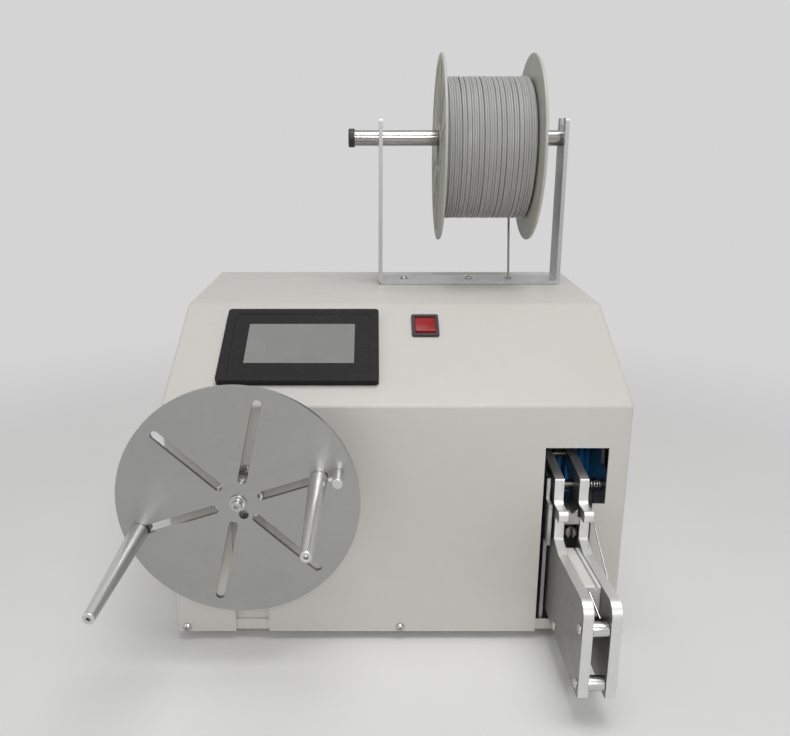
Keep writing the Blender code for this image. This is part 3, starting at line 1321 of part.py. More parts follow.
def square_motor(name, face, y, z, side, shaft_radius):
    """A small square motor whose face looks along X, its body on the given side of the face."""
    outline = rectangle(SMALL_MOTOR_SIDE, SMALL_MOTOR_SIDE, MOTOR_CORNER)
    middle = face + side * SMALL_MOTOR_LENGTH / 2
    motor = plate(name, [outline], SMALL_MOTOR_LENGTH, DARK_STEEL, at(middle, y, z, ALONG_X))
    start = face if side > 0 else face - MOTOR_NOSE_DEPTH + OVERRUN
    cut(motor, motor_nose(name + "_nose", start, y, z, ALONG_X, shaft_radius))
    return motor


def toothed(teeth):
    """The outline of a spur gear: a tooth is four points about its pitch circle."""
    pitch_radius = GEAR_MODULE * teeth / 2
    root = pitch_radius - GEAR_DEDENDUM
    tip = pitch_radius + GEAR_ADDENDUM
    corners = (
        (root, -TOOTH_ROOT_SHARE),
        (tip, -TOOTH_TIP_SHARE),
        (tip, TOOTH_TIP_SHARE),
        (root, TOOTH_ROOT_SHARE),
    )
    outline = []
    for tooth in range(teeth):
        for radius, share in corners:
            angle = (tooth + share) * FULL_TURN / teeth
            outline.append(Vector((radius * math.cos(angle), radius * math.sin(angle))))
    return outline


def twisting_drive():
    """The frame that carries the arm, and the motor, gears and head that twist the wire."""
    floor = TRAY_FLOOR
    inner_left = CHEEK_RIGHT + FIT_GAP
    inner_right = FRAME_RIGHT - CHEEK_SHEET - FIT_GAP
    channel = [
        (CHEEK_LEFT, floor),
        (FRAME_RIGHT, floor),
        (FRAME_RIGHT, CHEEK_HEIGHT),
        (FRAME_RIGHT - CHEEK_SHEET, CHEEK_HEIGHT),
        (FRAME_RIGHT - CHEEK_SHEET, floor + CHEEK_SHEET),
        (CHEEK_RIGHT, floor + CHEEK_SHEET),
        (CHEEK_RIGHT, CHEEK_HEIGHT),
        (CHEEK_LEFT, CHEEK_HEIGHT),
    ]
    depth = CHEEK_BACK - CHEEK_NOSE
    middle = (CHEEK_BACK + CHEEK_NOSE) / 2
    frame = plate("tying_frame", [channel], depth, ZINC_SHEET, at(0, middle, 0, FACING_FRONT))
    # What is left of both cheeks, seen from the side, and the left cheek's nose
    far = CHEEK_BACK + OVERRUN
    near = CHEEK_NOSE - OVERRUN
    low = floor - OVERRUN
    high = CHEEK_HEIGHT + OVERRUN
    wide = FRAME_RIGHT - CHEEK_LEFT + 2 * OVERRUN
    over = [
        (near, CHEEK_SHOULDER_Z),
        (CHEEK_SHOULDER_Y - OVERRUN, CHEEK_SHOULDER_Z),
        (CHEEK_SHOULDER_Y + OVERRUN, high),
        (near, high),
    ]
    behind = [(far, CHEEK_REAR_Z), (far, high), (CHEEK_REAR_Y, high), (CHEEK_REAR_Y, CHEEK_REAR_Z)]
    middle_x = (FRAME_RIGHT + CHEEK_LEFT) / 2
    whole = at(middle_x, 0, 0, ALONG_X)
    for label, outline in (("cheek_over", over), ("cheek_behind", behind)):
        cut(frame, plate(label, [outline], wide, None, whole))
    below = [(near, low), (CHEEK_FRONT, low), (CHEEK_FRONT, CHEEK_NOSE_LOW), (near, CHEEK_NOSE_LOW)]
    above = [
        (near, CHEEK_NOSE_HIGH),
        (CHEEK_FRONT, CHEEK_NOSE_HIGH),
        (CHEEK_FRONT, CHEEK_SHOULDER_Z + OVERRUN),
        (near, CHEEK_SHOULDER_Z + OVERRUN),
    ]
    for label, outline in (("cheek_below", below), ("cheek_above", above)):
        cut(frame, plate(label, [outline], wide, None, whole))
    right_low = (CHEEK_RIGHT + OVERRUN, near, low)
    right_high = (FRAME_RIGHT + OVERRUN, CHEEK_FRONT, high)
    cut(frame, block("right_nose", right_low, right_high, None))
    span = FRAME_RIGHT - CHEEK_LEFT
    drills = {
        "pin_hole": (PIVOT_RADIUS, PIVOT_Y, PIVOT_Z, span),
        "cam_shaft_hole": (CAM_SHAFT_RADIUS, BAR_Y, CAM_Z, CHEEK_SHEET),
        "feed_shaft_hole": (ROLLER_SHAFT_RADIUS, FEED_Y, FEED_ROLLER_Z, CHEEK_SHEET),
        "pinch_shaft_hole": (ROLLER_SHAFT_RADIUS, FEED_Y, PINCH_ROLLER_Z, CHEEK_SHEET),
    }
    for label, (radius, y, z, length) in drills.items():
        cut(frame, hole(label, radius + FIT_GAP, (CHEEK_LEFT, y, z), length, ALONG_X))

    plate_low = (inner_left, BEARING_PLATE_Y, floor + CHEEK_SHEET + FIT_GAP)
    plate_high = (inner_right, BEARING_PLATE_Y + BEARING_PLATE, BEARING_PLATE_TOP)
    bearing_plate = block("bearing_plate", plate_low, plate_high, SATIN_ALUMINIUM)
    plate_back = BEARING_PLATE_Y + BEARING_PLATE
    bores = (("twist_hole", TWIST_NECK_RADIUS, TWIST_Z), ("pinion_hole", PINION_SHAFT_RADIUS, PINION_Z))
    for label, radius, z in bores:
        drill = hole(label, radius + FIT_GAP, (ARM_MID, plate_back, z), BEARING_PLATE, FACING_FRONT)
        cut(bearing_plate, drill)

    end = plate_back + OVERRUN
    length = end - TWIST_FRONT
    waist = TWIST_HEAD_RADIUS - TWIST_RING / 2
    ring = TWIST_RING
    head = length - TWIST_HEAD_LENGTH
    profile = [
        (0, length),
        (waist, length),
        (TWIST_HEAD_RADIUS, length - ring / 2),
        (TWIST_HEAD_RADIUS, length - 2 * ring),
        (waist, length - 2 * ring),
        (waist, length - 3 * ring),
        (TWIST_HEAD_RADIUS, length - 3 * ring),
        (TWIST_HEAD_RADIUS, head),
        (TWIST_NECK_RADIUS, head),
        (TWIST_NECK_RADIUS, 0),
        (0, 0),
    ]
    shaft = turned("twist_shaft", profile, DARK_STEEL, at(ARM_MID, end, TWIST_Z, FACING_FRONT), SMALL_SIDES)
    slot = TWIST_SLOT / 2
    low = (ARM_MID - slot, TWIST_FRONT - OVERRUN, TWIST_Z - TWIST_HEAD_RADIUS - OVERRUN)
    high = (ARM_MID + slot, TWIST_FRONT + TWIST_SLOT_DEPTH, TWIST_Z + TWIST_HEAD_RADIUS + OVERRUN)
    cut(shaft, block("twist_slot", low, high, None))
    gear_y = BEARING_PLATE_Y - SHEET - GEAR_WIDTH / 2
    gear_place = at(ARM_MID, gear_y, TWIST_Z, FACING_FRONT)
    half_tooth = Matrix.Rotation(math.pi / GEAR_TEETH - QUARTER, 4, "Z")
    weld_on(shaft, plate("gear_teeth", [toothed(GEAR_TEETH)], GEAR_WIDTH, None, gear_place @ half_tooth))

    tooth_up = Matrix.Rotation(QUARTER, 4, "Z")
    pinion_place = at(ARM_MID, gear_y, PINION_Z, FACING_FRONT)
    pinion = plate("twist_pinion", [toothed(PINION_TEETH)], GEAR_WIDTH, DARK_STEEL, pinion_place @ tooth_up)
    motor_front = plate_back + FIT_GAP
    shaft_end = motor_front + MOTOR_NOSE_DEPTH / 2
    place = at(ARM_MID, shaft_end, PINION_Z, FACING_FRONT)
    weld_on(pinion, rod("pinion_shaft", PINION_SHAFT_RADIUS, shaft_end - gear_y, None, place))

    place = at(ARM_MID, motor_front + TWIST_MOTOR_LENGTH, PINION_Z, FACING_FRONT)
    motor = rod("twist_motor", TWIST_MOTOR_RADIUS, TWIST_MOTOR_LENGTH, DARK_STEEL, place, ROUND_SIDES)
    nose_y = motor_front + MOTOR_NOSE_DEPTH - OVERRUN
    cut(motor, motor_nose("twist_motor_nose", ARM_MID, nose_y, PINION_Z, FACING_FRONT, PINION_SHAFT_RADIUS))

    width = inner_right - DRIVER_LEFT
    pitch = width / (DRIVER_FINS - 1 + FIN_SHARE)
    comb = [(inner_right, DRIVER_BACK), (DRIVER_LEFT, DRIVER_BACK)]
    root = DRIVER_FRONT + DRIVER_FIN_DEPTH
    for index in range(DRIVER_FINS):
        x = DRIVER_LEFT + index * pitch
        if index:
            comb.append((x, root))
        comb.append((x, DRIVER_FRONT))
        comb.append((x + FIN_SHARE * pitch, DRIVER_FRONT))
        if index < DRIVER_FINS - 1:
            comb.append((x + FIN_SHARE * pitch, root))
    tall = DRIVER_TOP - DRIVER_BOTTOM
    place = at(0, 0, (DRIVER_TOP + DRIVER_BOTTOM) / 2)
    plate("motor_driver", [comb], tall, BLUE_CASING, place)


def wire_feed():
    """The two rollers that push the wire, and the motor of the lower one."""
    motor_face = CHEEK_RIGHT + FIT_GAP
    left = WIRE_X - ROLLER_WIDTH / 2
    width = ROLLER_WIDTH
    for name, radius, z, reach in (
        ("feed_roller", FEED_ROLLER_RADIUS, FEED_ROLLER_Z, motor_face + MOTOR_NOSE_DEPTH / 2),
        ("pinch_roller", PINCH_ROLLER_RADIUS, PINCH_ROLLER_Z, CHEEK_RIGHT),
    ):
        profile = [
            (0, reach - left),
            (ROLLER_SHAFT_RADIUS, reach - left),
            (ROLLER_SHAFT_RADIUS, width),
            (radius, width),
            (radius, 0),
            (0, 0),
        ]
        turned(name, profile, POLISHED_STEEL, at(left, FEED_Y, z, ALONG_X), ROUND_SIDES)
    square_motor("feed_motor", motor_face, FEED_Y, FEED_ROLLER_Z, 1, ROLLER_SHAFT_RADIUS)


def electrics():
    """The power supply and the control board on the tray's floor."""
    left = SUPPLY_LEFT
    back = HOOD_DEPTH - SUPPLY_BACK_INSET
    front = back - SUPPLY_DEPTH
    floor = TRAY_FLOOR
    top = floor + SUPPLY_HEIGHT
    supply = block("power_supply", (left, front, floor), (left + SUPPLY_WIDTH, back, top), SUPPLY_CASE)
    ledge_low = (left - OVERRUN, front - OVERRUN, top - SUPPLY_LEDGE_DROP)
    ledge_high = (left + SUPPLY_WIDTH + OVERRUN, front + SUPPLY_LEDGE, top + OVERRUN)
    cut(supply, block("supply_ledge", ledge_low, ledge_high, None))

    left = BOARD_LEFT
    front = HOOD_DEPTH - BOARD_BACK_INSET - BOARD_DEPTH
    low = (left, front, floor + BOARD_LEG)
    high = (left + BOARD_WIDTH, front + BOARD_DEPTH, floor + BOARD_LEG + BOARD_THICKNESS)
    board = block("control_board", low, high, BOARD_GREEN)
    inset = BOARD_LEG_INSET
    for x in (left + inset, left + BOARD_WIDTH - inset):
        for y in (front + inset, front + BOARD_DEPTH - inset):
            reach = BOARD_LEG + BOARD_THICKNESS / 2
            weld_on(board, rod("board_leg", BOARD_LEG_RADIUS, reach, None, at(x, y, floor), LEG_SIDES))
    middle = ((low[0] + high[0]) / 2, (low[1] + high[1]) / 2)
    half = CHIP_SIDE / 2
    chip_low = (middle[0] - half, middle[1] - half, high[2] - BOARD_THICKNESS / 2)
    chip_high = (middle[0] + half, middle[1] + half, high[2] + CHIP_HEIGHT)
    weld_on(board, block("board_chip", chip_low, chip_high, None))


casing()
screen()
switch()
power_inlet()
winding_drive()
winding_disc()
spool_stand()
spool()
tie_wire()
tying_arm()
upper_jaws()
twisting_drive()
wire_feed()
electrics()
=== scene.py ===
# %% [markdown]
# # Cable winding and tying machine
# This is a bench machine that winds a length of cable into a coil and ties the coil with a wire. A slotted
# disc with two posts turns the cable into a coil. The coil is then laid over an arm with sprung jaws, and
# a twisting head between its plates ties the wire, which comes from a spool on top of the hood.
#
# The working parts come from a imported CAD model. The lesson keeps their places, gives the visible ones a
# finer shape, and gives every surface a finish that is made of nodes.

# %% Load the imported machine
import json
import math

import bmesh
import bpy
from mathutils import Matrix, Vector


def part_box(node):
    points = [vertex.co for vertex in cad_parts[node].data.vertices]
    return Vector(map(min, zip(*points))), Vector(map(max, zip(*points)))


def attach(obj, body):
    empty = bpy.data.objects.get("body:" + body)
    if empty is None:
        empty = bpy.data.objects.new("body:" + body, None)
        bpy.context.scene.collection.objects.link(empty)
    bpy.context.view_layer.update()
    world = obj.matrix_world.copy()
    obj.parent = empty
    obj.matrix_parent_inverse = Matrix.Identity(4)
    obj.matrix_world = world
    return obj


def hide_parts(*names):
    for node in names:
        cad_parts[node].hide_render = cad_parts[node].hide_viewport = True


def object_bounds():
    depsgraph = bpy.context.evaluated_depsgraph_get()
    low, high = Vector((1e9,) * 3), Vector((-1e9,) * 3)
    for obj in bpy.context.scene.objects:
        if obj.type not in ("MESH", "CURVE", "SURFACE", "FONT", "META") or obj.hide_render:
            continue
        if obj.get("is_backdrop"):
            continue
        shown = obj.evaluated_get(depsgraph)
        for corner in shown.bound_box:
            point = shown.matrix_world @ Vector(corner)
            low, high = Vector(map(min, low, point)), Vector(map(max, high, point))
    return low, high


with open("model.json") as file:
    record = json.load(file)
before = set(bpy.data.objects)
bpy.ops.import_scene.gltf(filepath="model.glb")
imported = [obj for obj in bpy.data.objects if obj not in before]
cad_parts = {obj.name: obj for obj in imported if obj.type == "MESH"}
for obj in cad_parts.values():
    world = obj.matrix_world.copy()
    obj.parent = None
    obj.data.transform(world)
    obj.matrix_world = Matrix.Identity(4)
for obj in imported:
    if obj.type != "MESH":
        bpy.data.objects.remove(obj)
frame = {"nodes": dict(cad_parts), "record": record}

cad_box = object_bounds()
nodes = frame["nodes"]
body_of = {node: body for body, names in frame["record"]["behaviour"]["bodies"].items() for node in names}

# %% [markdown]
# ## The machine's own coordinates
# On a sheet-metal machine everything is measured from the casing. So the pieces are drawn with X as 0 at
# the middle of the hood, Y as 0 at its front face and Z as 0 at its lower edge. The hood's box in the
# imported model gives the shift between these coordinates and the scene's.

# %% Find the casing
hood_low, hood_high = (Vector(corner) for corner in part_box("hood"))
machine = Matrix.Translation(((hood_low.x + hood_high.x) / 2, hood_low.y, hood_low.z))
hood_width, hood_depth, hood_height = hood_high - hood_low
print("hood in mm:", [round(length * 1000, 1) for length in (hood_width, hood_depth, hood_height)])


def box_of(node):
    """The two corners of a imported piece, in the machine's own coordinates."""
    back = machine.inverted()
    return [back @ Vector(corner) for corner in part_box(node)]


def middle_of(node):
    low, high = box_of(node)
    return (low + high) / 2


# %% [markdown]
# ## Camera
# The photograph was taken from just left of the machine's middle, a little above the screen and close by.
# A camera that near sees round the corner of every piece, so its place matters more than its lens. The
# place was worked out from the hood's corners, and the small sideways shift keeps the hood's upright edges
# where the photograph has them.

# %% Set the camera
photo_size = (790, 736)
focal_pixels, pixels_aside, sensor_width = 825, 20, 36
camera_place, camera_tilt = Vector((-0.019, -0.659, 0.445)), math.radians(16.34)
camera_data = bpy.data.cameras.new("camera")
camera_data.sensor_width = sensor_width
camera_data.lens = sensor_width * focal_pixels / photo_size[0]
camera_data.shift_x = pixels_aside / photo_size[0]
camera = bpy.data.objects.new("camera", camera_data)
camera.location = machine @ camera_place
camera.rotation_euler = (math.pi / 2 - camera_tilt, 0, 0)
bpy.context.scene.collection.objects.link(camera)
bpy.context.scene.camera = camera
print("lens in mm:", round(camera_data.lens, 1))

# %% [markdown]
# ## Tools for nodes
# The world, the shared effects and the materials are all trees of nodes. The same few steps come back in
# each of them: add a node, link it, do a sum, place a noise and spread a value between two others. Every
# noise reads Object coordinates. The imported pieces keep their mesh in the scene's own coordinates, so a
# grain that runs along X on one piece also runs along X on the next, at the same size in metres.


# %% Node tools
class Nodes:
    """One tree of nodes, with helpers that add and link them."""

    def __init__(self, tree):
        self.tree = tree

    def add(self, kind, **settings):
        node = self.tree.nodes.new(kind)
        for label, value in settings.items():
            setattr(node, label, value)
        return node

    def link(self, value, node, socket):
        """Feeds a socket from another node, or types a number into it."""
        if isinstance(value, (int, float)):
            node.inputs[socket].default_value = value
        else:
            self.tree.links.new(value, node.inputs[socket])

    def math(self, operation, first, second, clamp=False):
        node = self.add("ShaderNodeMath", operation=operation, use_clamp=clamp)
        self.link(first, node, 0)
        self.link(second, node, 1)
        return node.outputs[0]

    def place(self):
        """Object coordinates, in metres."""
        return self.add("ShaderNodeTexCoord").outputs["Object"]

    def facing(self, axis):
        """How far the surface looks along an axis."""
        split = self.add("ShaderNodeSeparateXYZ")
        self.link(self.add("ShaderNodeNewGeometry").outputs["Normal"], split, "Vector")
        return split.outputs[axis]

    def noise(self, scale, detail=3, roughness=0.5, vector=None):
        node = self.add("ShaderNodeTexNoise")
        self.link(self.place() if vector is None else vector, node, "Vector")
        self.link(scale, node, "Scale")
        self.link(detail, node, "Detail")
        self.link(roughness, node, "Roughness")
        return node.outputs["Fac"]

    def spread(self, value, low, high, start=0, end=1, **settings):
        """A value that runs from start to end, spread between low and high."""
        node = self.add("ShaderNodeMapRange", **settings)
        for number, socket in ((value, "Value"), (start, "From Min"), (end, "From Max")):
            self.link(number, node, socket)
        self.link(low, node, "To Min")
        self.link(high, node, "To Max")
        return node.outputs["Result"]


# %% [markdown]
# ## Room and lamps
# A product stands well on a plain pale floor under soft light. The floor keeps the machine's shadow. The
# world is pale to the camera and to reflections, because polished metal looks right only where it has
# something bright to mirror, and much dimmer as a lamp, so that the pale paint doesn't burn out. A small
# key lamp stands in front, where the photographer was, and shines through the slots of the disc. A large
# lamp overhead makes the slope the brightest side of the hood, as it is in the photograph, and a weak one
# at the left fills the shadows.

# %% Light the room
backdrop, world_light = 0.66, 0.25
lamp_aim = Vector((0, 0, 0.2))
scene = bpy.context.scene
scene.view_settings.view_transform = "Standard"
scene.world = bpy.data.worlds.new("room")
scene.world.use_nodes = True
room = Nodes(scene.world.node_tree)
path = room.add("ShaderNodeLightPath")
bright = room.math("MAXIMUM", path.outputs["Is Camera Ray"], path.outputs["Is Glossy Ray"])
sky = room.tree.nodes["Background"]
sky.inputs["Color"].default_value = (1, 1, 1, 1)
room.link(room.spread(bright, world_light, backdrop), sky, "Strength")


def soft_lamp(name, where, size, power):
    """A square lamp that looks at the middle of the machine."""
    data = bpy.data.lights.new(name, "AREA")
    data.size = size
    data.energy = power
    lamp = bpy.data.objects.new(name, data)
    lamp.location = where
    lamp.rotation_euler = (lamp_aim - Vector(where)).to_track_quat("-Z", "Y").to_euler()
    scene.collection.objects.link(lamp)


soft_lamp("key_lamp", (0.2, -2.1, 1.3), 0.5, 13)
soft_lamp("fill_lamp", (-1.5, -1.3, 1.2), 1.2, 3)
soft_lamp("top_lamp", (0.25, -0.35, 2.2), 1.3, 22)

# %% [markdown]
# ## Finishes
# A material is built from two shared effects. Each effect is a node group: it takes a size and gives back
# masks or a height, and each material places it with its own values.


# %% Groups
class Group(Nodes):
    """A shader node group with named inputs and outputs."""

    def __init__(self, name, inputs, outputs):
        super().__init__(bpy.data.node_groups.new(name, "ShaderNodeTree"))
        for label, value in inputs.items():
            kind = "NodeSocketVector" if isinstance(value, tuple) else "NodeSocketFloat"
            socket = self.tree.interface.new_socket(label, in_out="INPUT", socket_type=kind)
            socket.default_value = value
        for label in outputs:
            self.tree.interface.new_socket(label, in_out="OUTPUT", socket_type="NodeSocketFloat")
        self.given = self.add("NodeGroupInput").outputs
        self.result = self.add("NodeGroupOutput")


# %% [markdown]
# ### Grain
# Rolled, brushed and turned metal all show fine lines. They differ only in the direction in which the
# lines run, so one effect does for all: a noise whose coordinates are squeezed along the lines. The
# Stretch input says how much finer the noise is along each axis. A low number gives long lines in that
# direction.

# %% Grain group
grain = Group("grain", {"Stretch": (1.0, 1.0, 1.0), "Scale": 900.0}, ["Lines", "Height"])
stretched = grain.add("ShaderNodeVectorMath", operation="MULTIPLY")
grain.link(grain.place(), stretched, 0)
grain.link(grain.given["Stretch"], stretched, 1)
lines = grain.noise(grain.given["Scale"], 4, 0.6, stretched.outputs[0])
uneven = grain.math("MULTIPLY", grain.noise(26, 2, 0.55), 0.35)
grain.link(grain.math("ADD", lines, uneven), grain.result, "Height")
grain.link(grain.math("SUBTRACT", grain.math("MULTIPLY", lines, 1.6), 0.3), grain.result, "Lines")

# %% [markdown]
# ### Handling
# Nothing on a bench stays evenly clean. Fingers and rags leave soft patches that are a little duller, and
# dust settles where a surface looks up. The effect gives both: Smudge from two sizes of noise, and Dust
# from the upward part of the surface's normal.

# %% Handling group
handling = Group("handling", {"Scale": 14.0}, ["Smudge", "Dust"])
soft = handling.noise(handling.given["Scale"], 3, 0.55)
streaks = handling.noise(handling.math("MULTIPLY", handling.given["Scale"], 7), 2, 0.55)
both = handling.math("MULTIPLY", soft, handling.math("ADD", streaks, 0.5))
strong = handling.math("MULTIPLY", handling.math("SUBTRACT", both, 0.36), 2.4)
handling.link(handling.math("ADD", strong, 0.3, clamp=True), handling.result, "Smudge")
upward = handling.math("MAXIMUM", handling.facing("Z"), 0)
settled = handling.math("MULTIPLY", handling.math("POWER", upward, 3), handling.noise(600, 2, 0.55))
handling.link(settled, handling.result, "Dust")

# %% [markdown]
# ### A finish
# Each material keeps its own shader, because gloss belongs to one surface. The class below holds the few
# steps that all of them repeat: place a shared effect, blend two colours by a mask, spread the roughness
# between a low and a high value, and raise the surface a few hundredths of a millimetre with a bump.


# %% Tools for finishes
class Finish(Nodes):
    """One material, with helpers that place the shared effects and link them to its shader."""

    def __init__(self, name, colour, **sockets):
        self.material = bpy.data.materials.new(name)
        self.material.use_nodes = True
        self.material.diffuse_color = (*colour, 1)
        super().__init__(self.material.node_tree)
        self.shader = self.tree.nodes["Principled BSDF"]
        self.shader.inputs["Base Color"].default_value = (*colour, 1)
        for label, value in sockets.items():
            self.shader.inputs[label.replace("_", " ")].default_value = value

    def effect(self, group, **values):
        node = self.add("ShaderNodeGroup", node_tree=group.tree)
        for label, value in values.items():
            node.inputs[label].default_value = value
        return node.outputs

    def shade(self, *blends):
        """The base colour, blended towards each (colour, mask, amount) in turn."""
        base = self.shader.inputs["Base Color"]
        for colour, mask, amount in blends:
            mix = self.add("ShaderNodeMix", data_type="RGBA")
            self.link(self.spread(mask, 0, amount), mix, 0)
            mix.inputs[6].default_value = base.default_value
            if base.links:
                self.link(base.links[0].from_socket, mix, 6)
            mix.inputs[7].default_value = (*colour, 1)
            self.link(mix.outputs[2], self.shader, "Base Color")

    def gloss(self, mask, low, high):
        """Roughness between two values."""
        self.link(self.spread(mask, low, high), self.shader, "Roughness")

    def bump(self, *layers):
        """Each layer is a height from 0 to 1 and how far it stands up, in metres."""
        above = None
        for height, distance in layers:
            node = self.add("ShaderNodeBump")
            self.link(distance, node, "Distance")
            self.link(height, node, "Height")
            if above:
                self.link(above, node, "Normal")
            above = node.outputs["Normal"]
        self.link(above, self.shader, "Normal")


# %% [markdown]
# ### Powder coat
# The hood is steel sheet with a warm white powder coat. Baked powder isn't flat: it has a shallow orange-
# peel texture about a millimetre across, which softens every reflection. Handling dulls it in patches, and
# the top gathers a little dust.

# %% Powder coat
powder_coat = Finish("powder_coat", (0.66, 0.64, 0.60))
touched = powder_coat.effect(handling, Scale=7.0)
powder_coat.shade(
    ((0.60, 0.58, 0.54), touched["Smudge"], 0.35),
    ((0.50, 0.48, 0.44), touched["Dust"], 0.16),
)
powder_coat.gloss(touched["Smudge"], 0.36, 0.52)
powder_coat.bump((powder_coat.noise(620, 2), 0.00008), (powder_coat.noise(90, 1), 0.0001))

# %% [markdown]
# ### Bare metals
# The metals differ in colour, in how rough they are and in the direction of their grain. One recipe makes
# them all from a short list of those values. The grain gives a faint colour change and a little bump, and
# the handling effect spreads the roughness, so that no two highlights look the same. The arm's plates have
# painted shade on their faces that look along X: these are darker, partly as the duller rolled faces of the
# plate they were cut from and partly as shade on the plates' sides. The plates are bright only where they
# are milled.

# %% Metals
across_x, across_y = (1.0, 0.03, 0.03), (0.03, 1.0, 0.03)
along_x, along_y, along_z = (0.03, 1.0, 1.0), (1.0, 0.03, 1.0), (1.0, 1.0, 0.03)
even = (0.4, 0.4, 0.4)


def metal(name, colour, gloss, stretch, scale=900.0, lift=0.00002, dull=0.72, metallic=1.0):
    """Metal with a grain: gloss is the lowest and highest roughness, lift the height of the grain."""
    finish = Finish(name, colour, Metallic=metallic)
    marks = finish.effect(grain, Stretch=stretch, Scale=scale)
    touched = finish.effect(handling, Scale=16.0)
    darker = tuple(channel * dull for channel in colour)
    finish.shade((darker, marks["Lines"], 0.45), (darker, touched["Smudge"], 0.5))
    finish.gloss(touched["Smudge"], *gloss)
    finish.bump((marks["Height"], lift))
    return finish


disc_aluminium = metal("disc_aluminium", (0.42, 0.42, 0.40), (0.27, 0.36), along_x, 500.0, 0.000001, 0.86)
turned_aluminium = metal("turned_aluminium", (0.74, 0.74, 0.73), (0.26, 0.42), across_y, 1600.0, 0.00002)
milled_aluminium = metal(
    "milled_aluminium", (0.8, 0.8, 0.79), (0.3, 0.48), along_z, 1300.0, 0.00001, dull=0.82, metallic=0.65)
bar_steel = metal("bar_steel", (0.56, 0.57, 0.57), (0.32, 0.48), along_z, 700.0, 0.00002)
ground_shaft = metal("ground_shaft", (0.46, 0.44, 0.42), (0.10, 0.22), across_x, 2200.0, 0.00001)
plated_steel = metal("plated_steel", (0.62, 0.62, 0.60), (0.16, 0.34), even, 1800.0, 0.00001)
turned_steel = metal("turned_steel", (0.70, 0.70, 0.69), (0.16, 0.30), across_x, 2200.0, 0.00001)
spring_steel = metal("spring_steel", (0.62, 0.61, 0.59), (0.16, 0.30), along_x, 2500.0, 0.00001)
zinc_sheet = metal("zinc_sheet", (0.55, 0.56, 0.56), (0.34, 0.55), even, 160.0, 0.00002)
tool_steel = metal("tool_steel", (0.25, 0.235, 0.21), (0.22, 0.42), along_y, 1500.0, 0.00002)
cutter_steel = metal("cutter_steel", (0.44, 0.43, 0.41), (0.24, 0.40), along_y, 1500.0, 0.00002)
motor_steel = metal("motor_steel", (0.22, 0.22, 0.22), (0.35, 0.55), across_y, 1500.0, 0.00005)
supply_steel = metal("supply_steel", (0.50, 0.51, 0.51), (0.34, 0.52), along_x, 900.0, 0.00002)

# Painted shade: the faces that look along X are darkened, partly as duller rolled plate and partly as shade
# on the plates' sides.
sides = milled_aluminium.math("ABSOLUTE", milled_aluminium.facing("X"), 0)
rolled_and_shaded_faces = milled_aluminium.spread(sides, 0, 1, 0.85, 0.98)
milled_aluminium.shade(((0.20, 0.195, 0.185), rolled_and_shaded_faces, 0.85))

# %% [markdown]
# ### Moulded plastic, rubber and the wire's coat
# Moulded parts take the texture of their mould. The screen's case and the rocker are glossy, the feet are
# dull and the spool is a pale plastic that lets a little light in. The tie wire has a thin grey coat. Its
# turns differ slightly in tone through painted shade: darker bands that change along X, one turn to the
# next, stand for each turn lying at its own angle to the light.


# %% Plastics
def plastic(name, colour, gloss, scale, lift=0.00002, shift=0.85, **sockets):
    """Moulded plastic: gloss is the lowest and highest roughness, shift how much darker its patches are."""
    finish = Finish(name, colour, **sockets)
    touched = finish.effect(handling, Scale=18.0)
    darker = tuple(channel * shift for channel in colour)
    pale = tuple(channel * 0.6 + 0.2 for channel in colour)
    finish.shade((darker, touched["Smudge"], 0.6), (pale, touched["Dust"], 0.12))
    finish.gloss(touched["Smudge"], *gloss)
    finish.bump((finish.noise(scale, 2), lift))
    return finish


case_gloss = {"Specular_IOR_Level": 0.2}
case_black = plastic("case_black", (0.010, 0.010, 0.011), (0.16, 0.30), 1800.0, 0.00001, **case_gloss)
socket_black = plastic("socket_black", (0.02, 0.02, 0.021), (0.35, 0.5), 1500.0)
foot_rubber = plastic("foot_rubber", (0.025, 0.025, 0.025), (0.65, 0.85), 700.0, 0.00006)
spool_plastic = plastic("spool_plastic", (0.53, 0.54, 0.48), (0.38, 0.52), 500.0, 0.00004, 0.9)
guide_plastic = plastic("guide_plastic", (0.80, 0.79, 0.75), (0.30, 0.45), 900.0, 0.00002, 0.9)
rocker_gloss = {"Specular_IOR_Level": 0.35}
rocker_red = plastic("rocker_red", (0.38, 0.004, 0.006), (0.10, 0.2), 2000.0, 0.000005, 0.8, **rocker_gloss)
for finish, weight in ((spool_plastic, 0.12), (guide_plastic, 0.1), (rocker_red, 0.15)):
    finish.shader.inputs["Subsurface Weight"].default_value = weight
    finish.shader.inputs["Subsurface Scale"].default_value = 0.003

wire_coat = Finish("wire_coat", (0.46, 0.46, 0.45))
marks = wire_coat.effect(grain, Stretch=across_x, Scale=420.0)
touched = wire_coat.effect(handling, Scale=30.0)
# Painted shade: the grain's bands darken the coat turn by turn, as if each turn met the light at its own
# angle.
wire_coat.shade(((0.34, 0.34, 0.33), marks["Lines"], 0.6), ((0.32, 0.32, 0.31), touched["Smudge"], 0.3))
wire_coat.gloss(marks["Lines"], 0.32, 0.5)
wire_coat.bump((wire_coat.noise(1400, 2), 0.00002))

# %% [markdown]
# ### The screen, the motor driver and the board
# The screen is off in the photograph, so its display is a plain grey with a painted reflection: broad
# patches that are a little lighter, behind glass that is smooth and clear. The blue piece in the window is
# an anodised casing.
# The board is green lacquer over paler tracks, which a grid of rectangular cells suggests.

# %% Screen, driver and board
display = Finish("display", (0.20, 0.20, 0.195), Coat_Weight=1.0, Coat_Roughness=0.03)
wide_tone = display.effect(handling, Scale=5.0)["Smudge"]
# Painted reflection: the display's grey is lighter in broad patches.
display.shade(((0.25, 0.25, 0.245), wide_tone, 0.8))
display.gloss(wide_tone, 0.2, 0.3)
display.bump((display.noise(2500, 1), 0.000003))

driver_blue = metal("driver_blue", (0.04, 0.50, 1.0), (0.26, 0.42), along_z, dull=0.6, metallic=0.1)

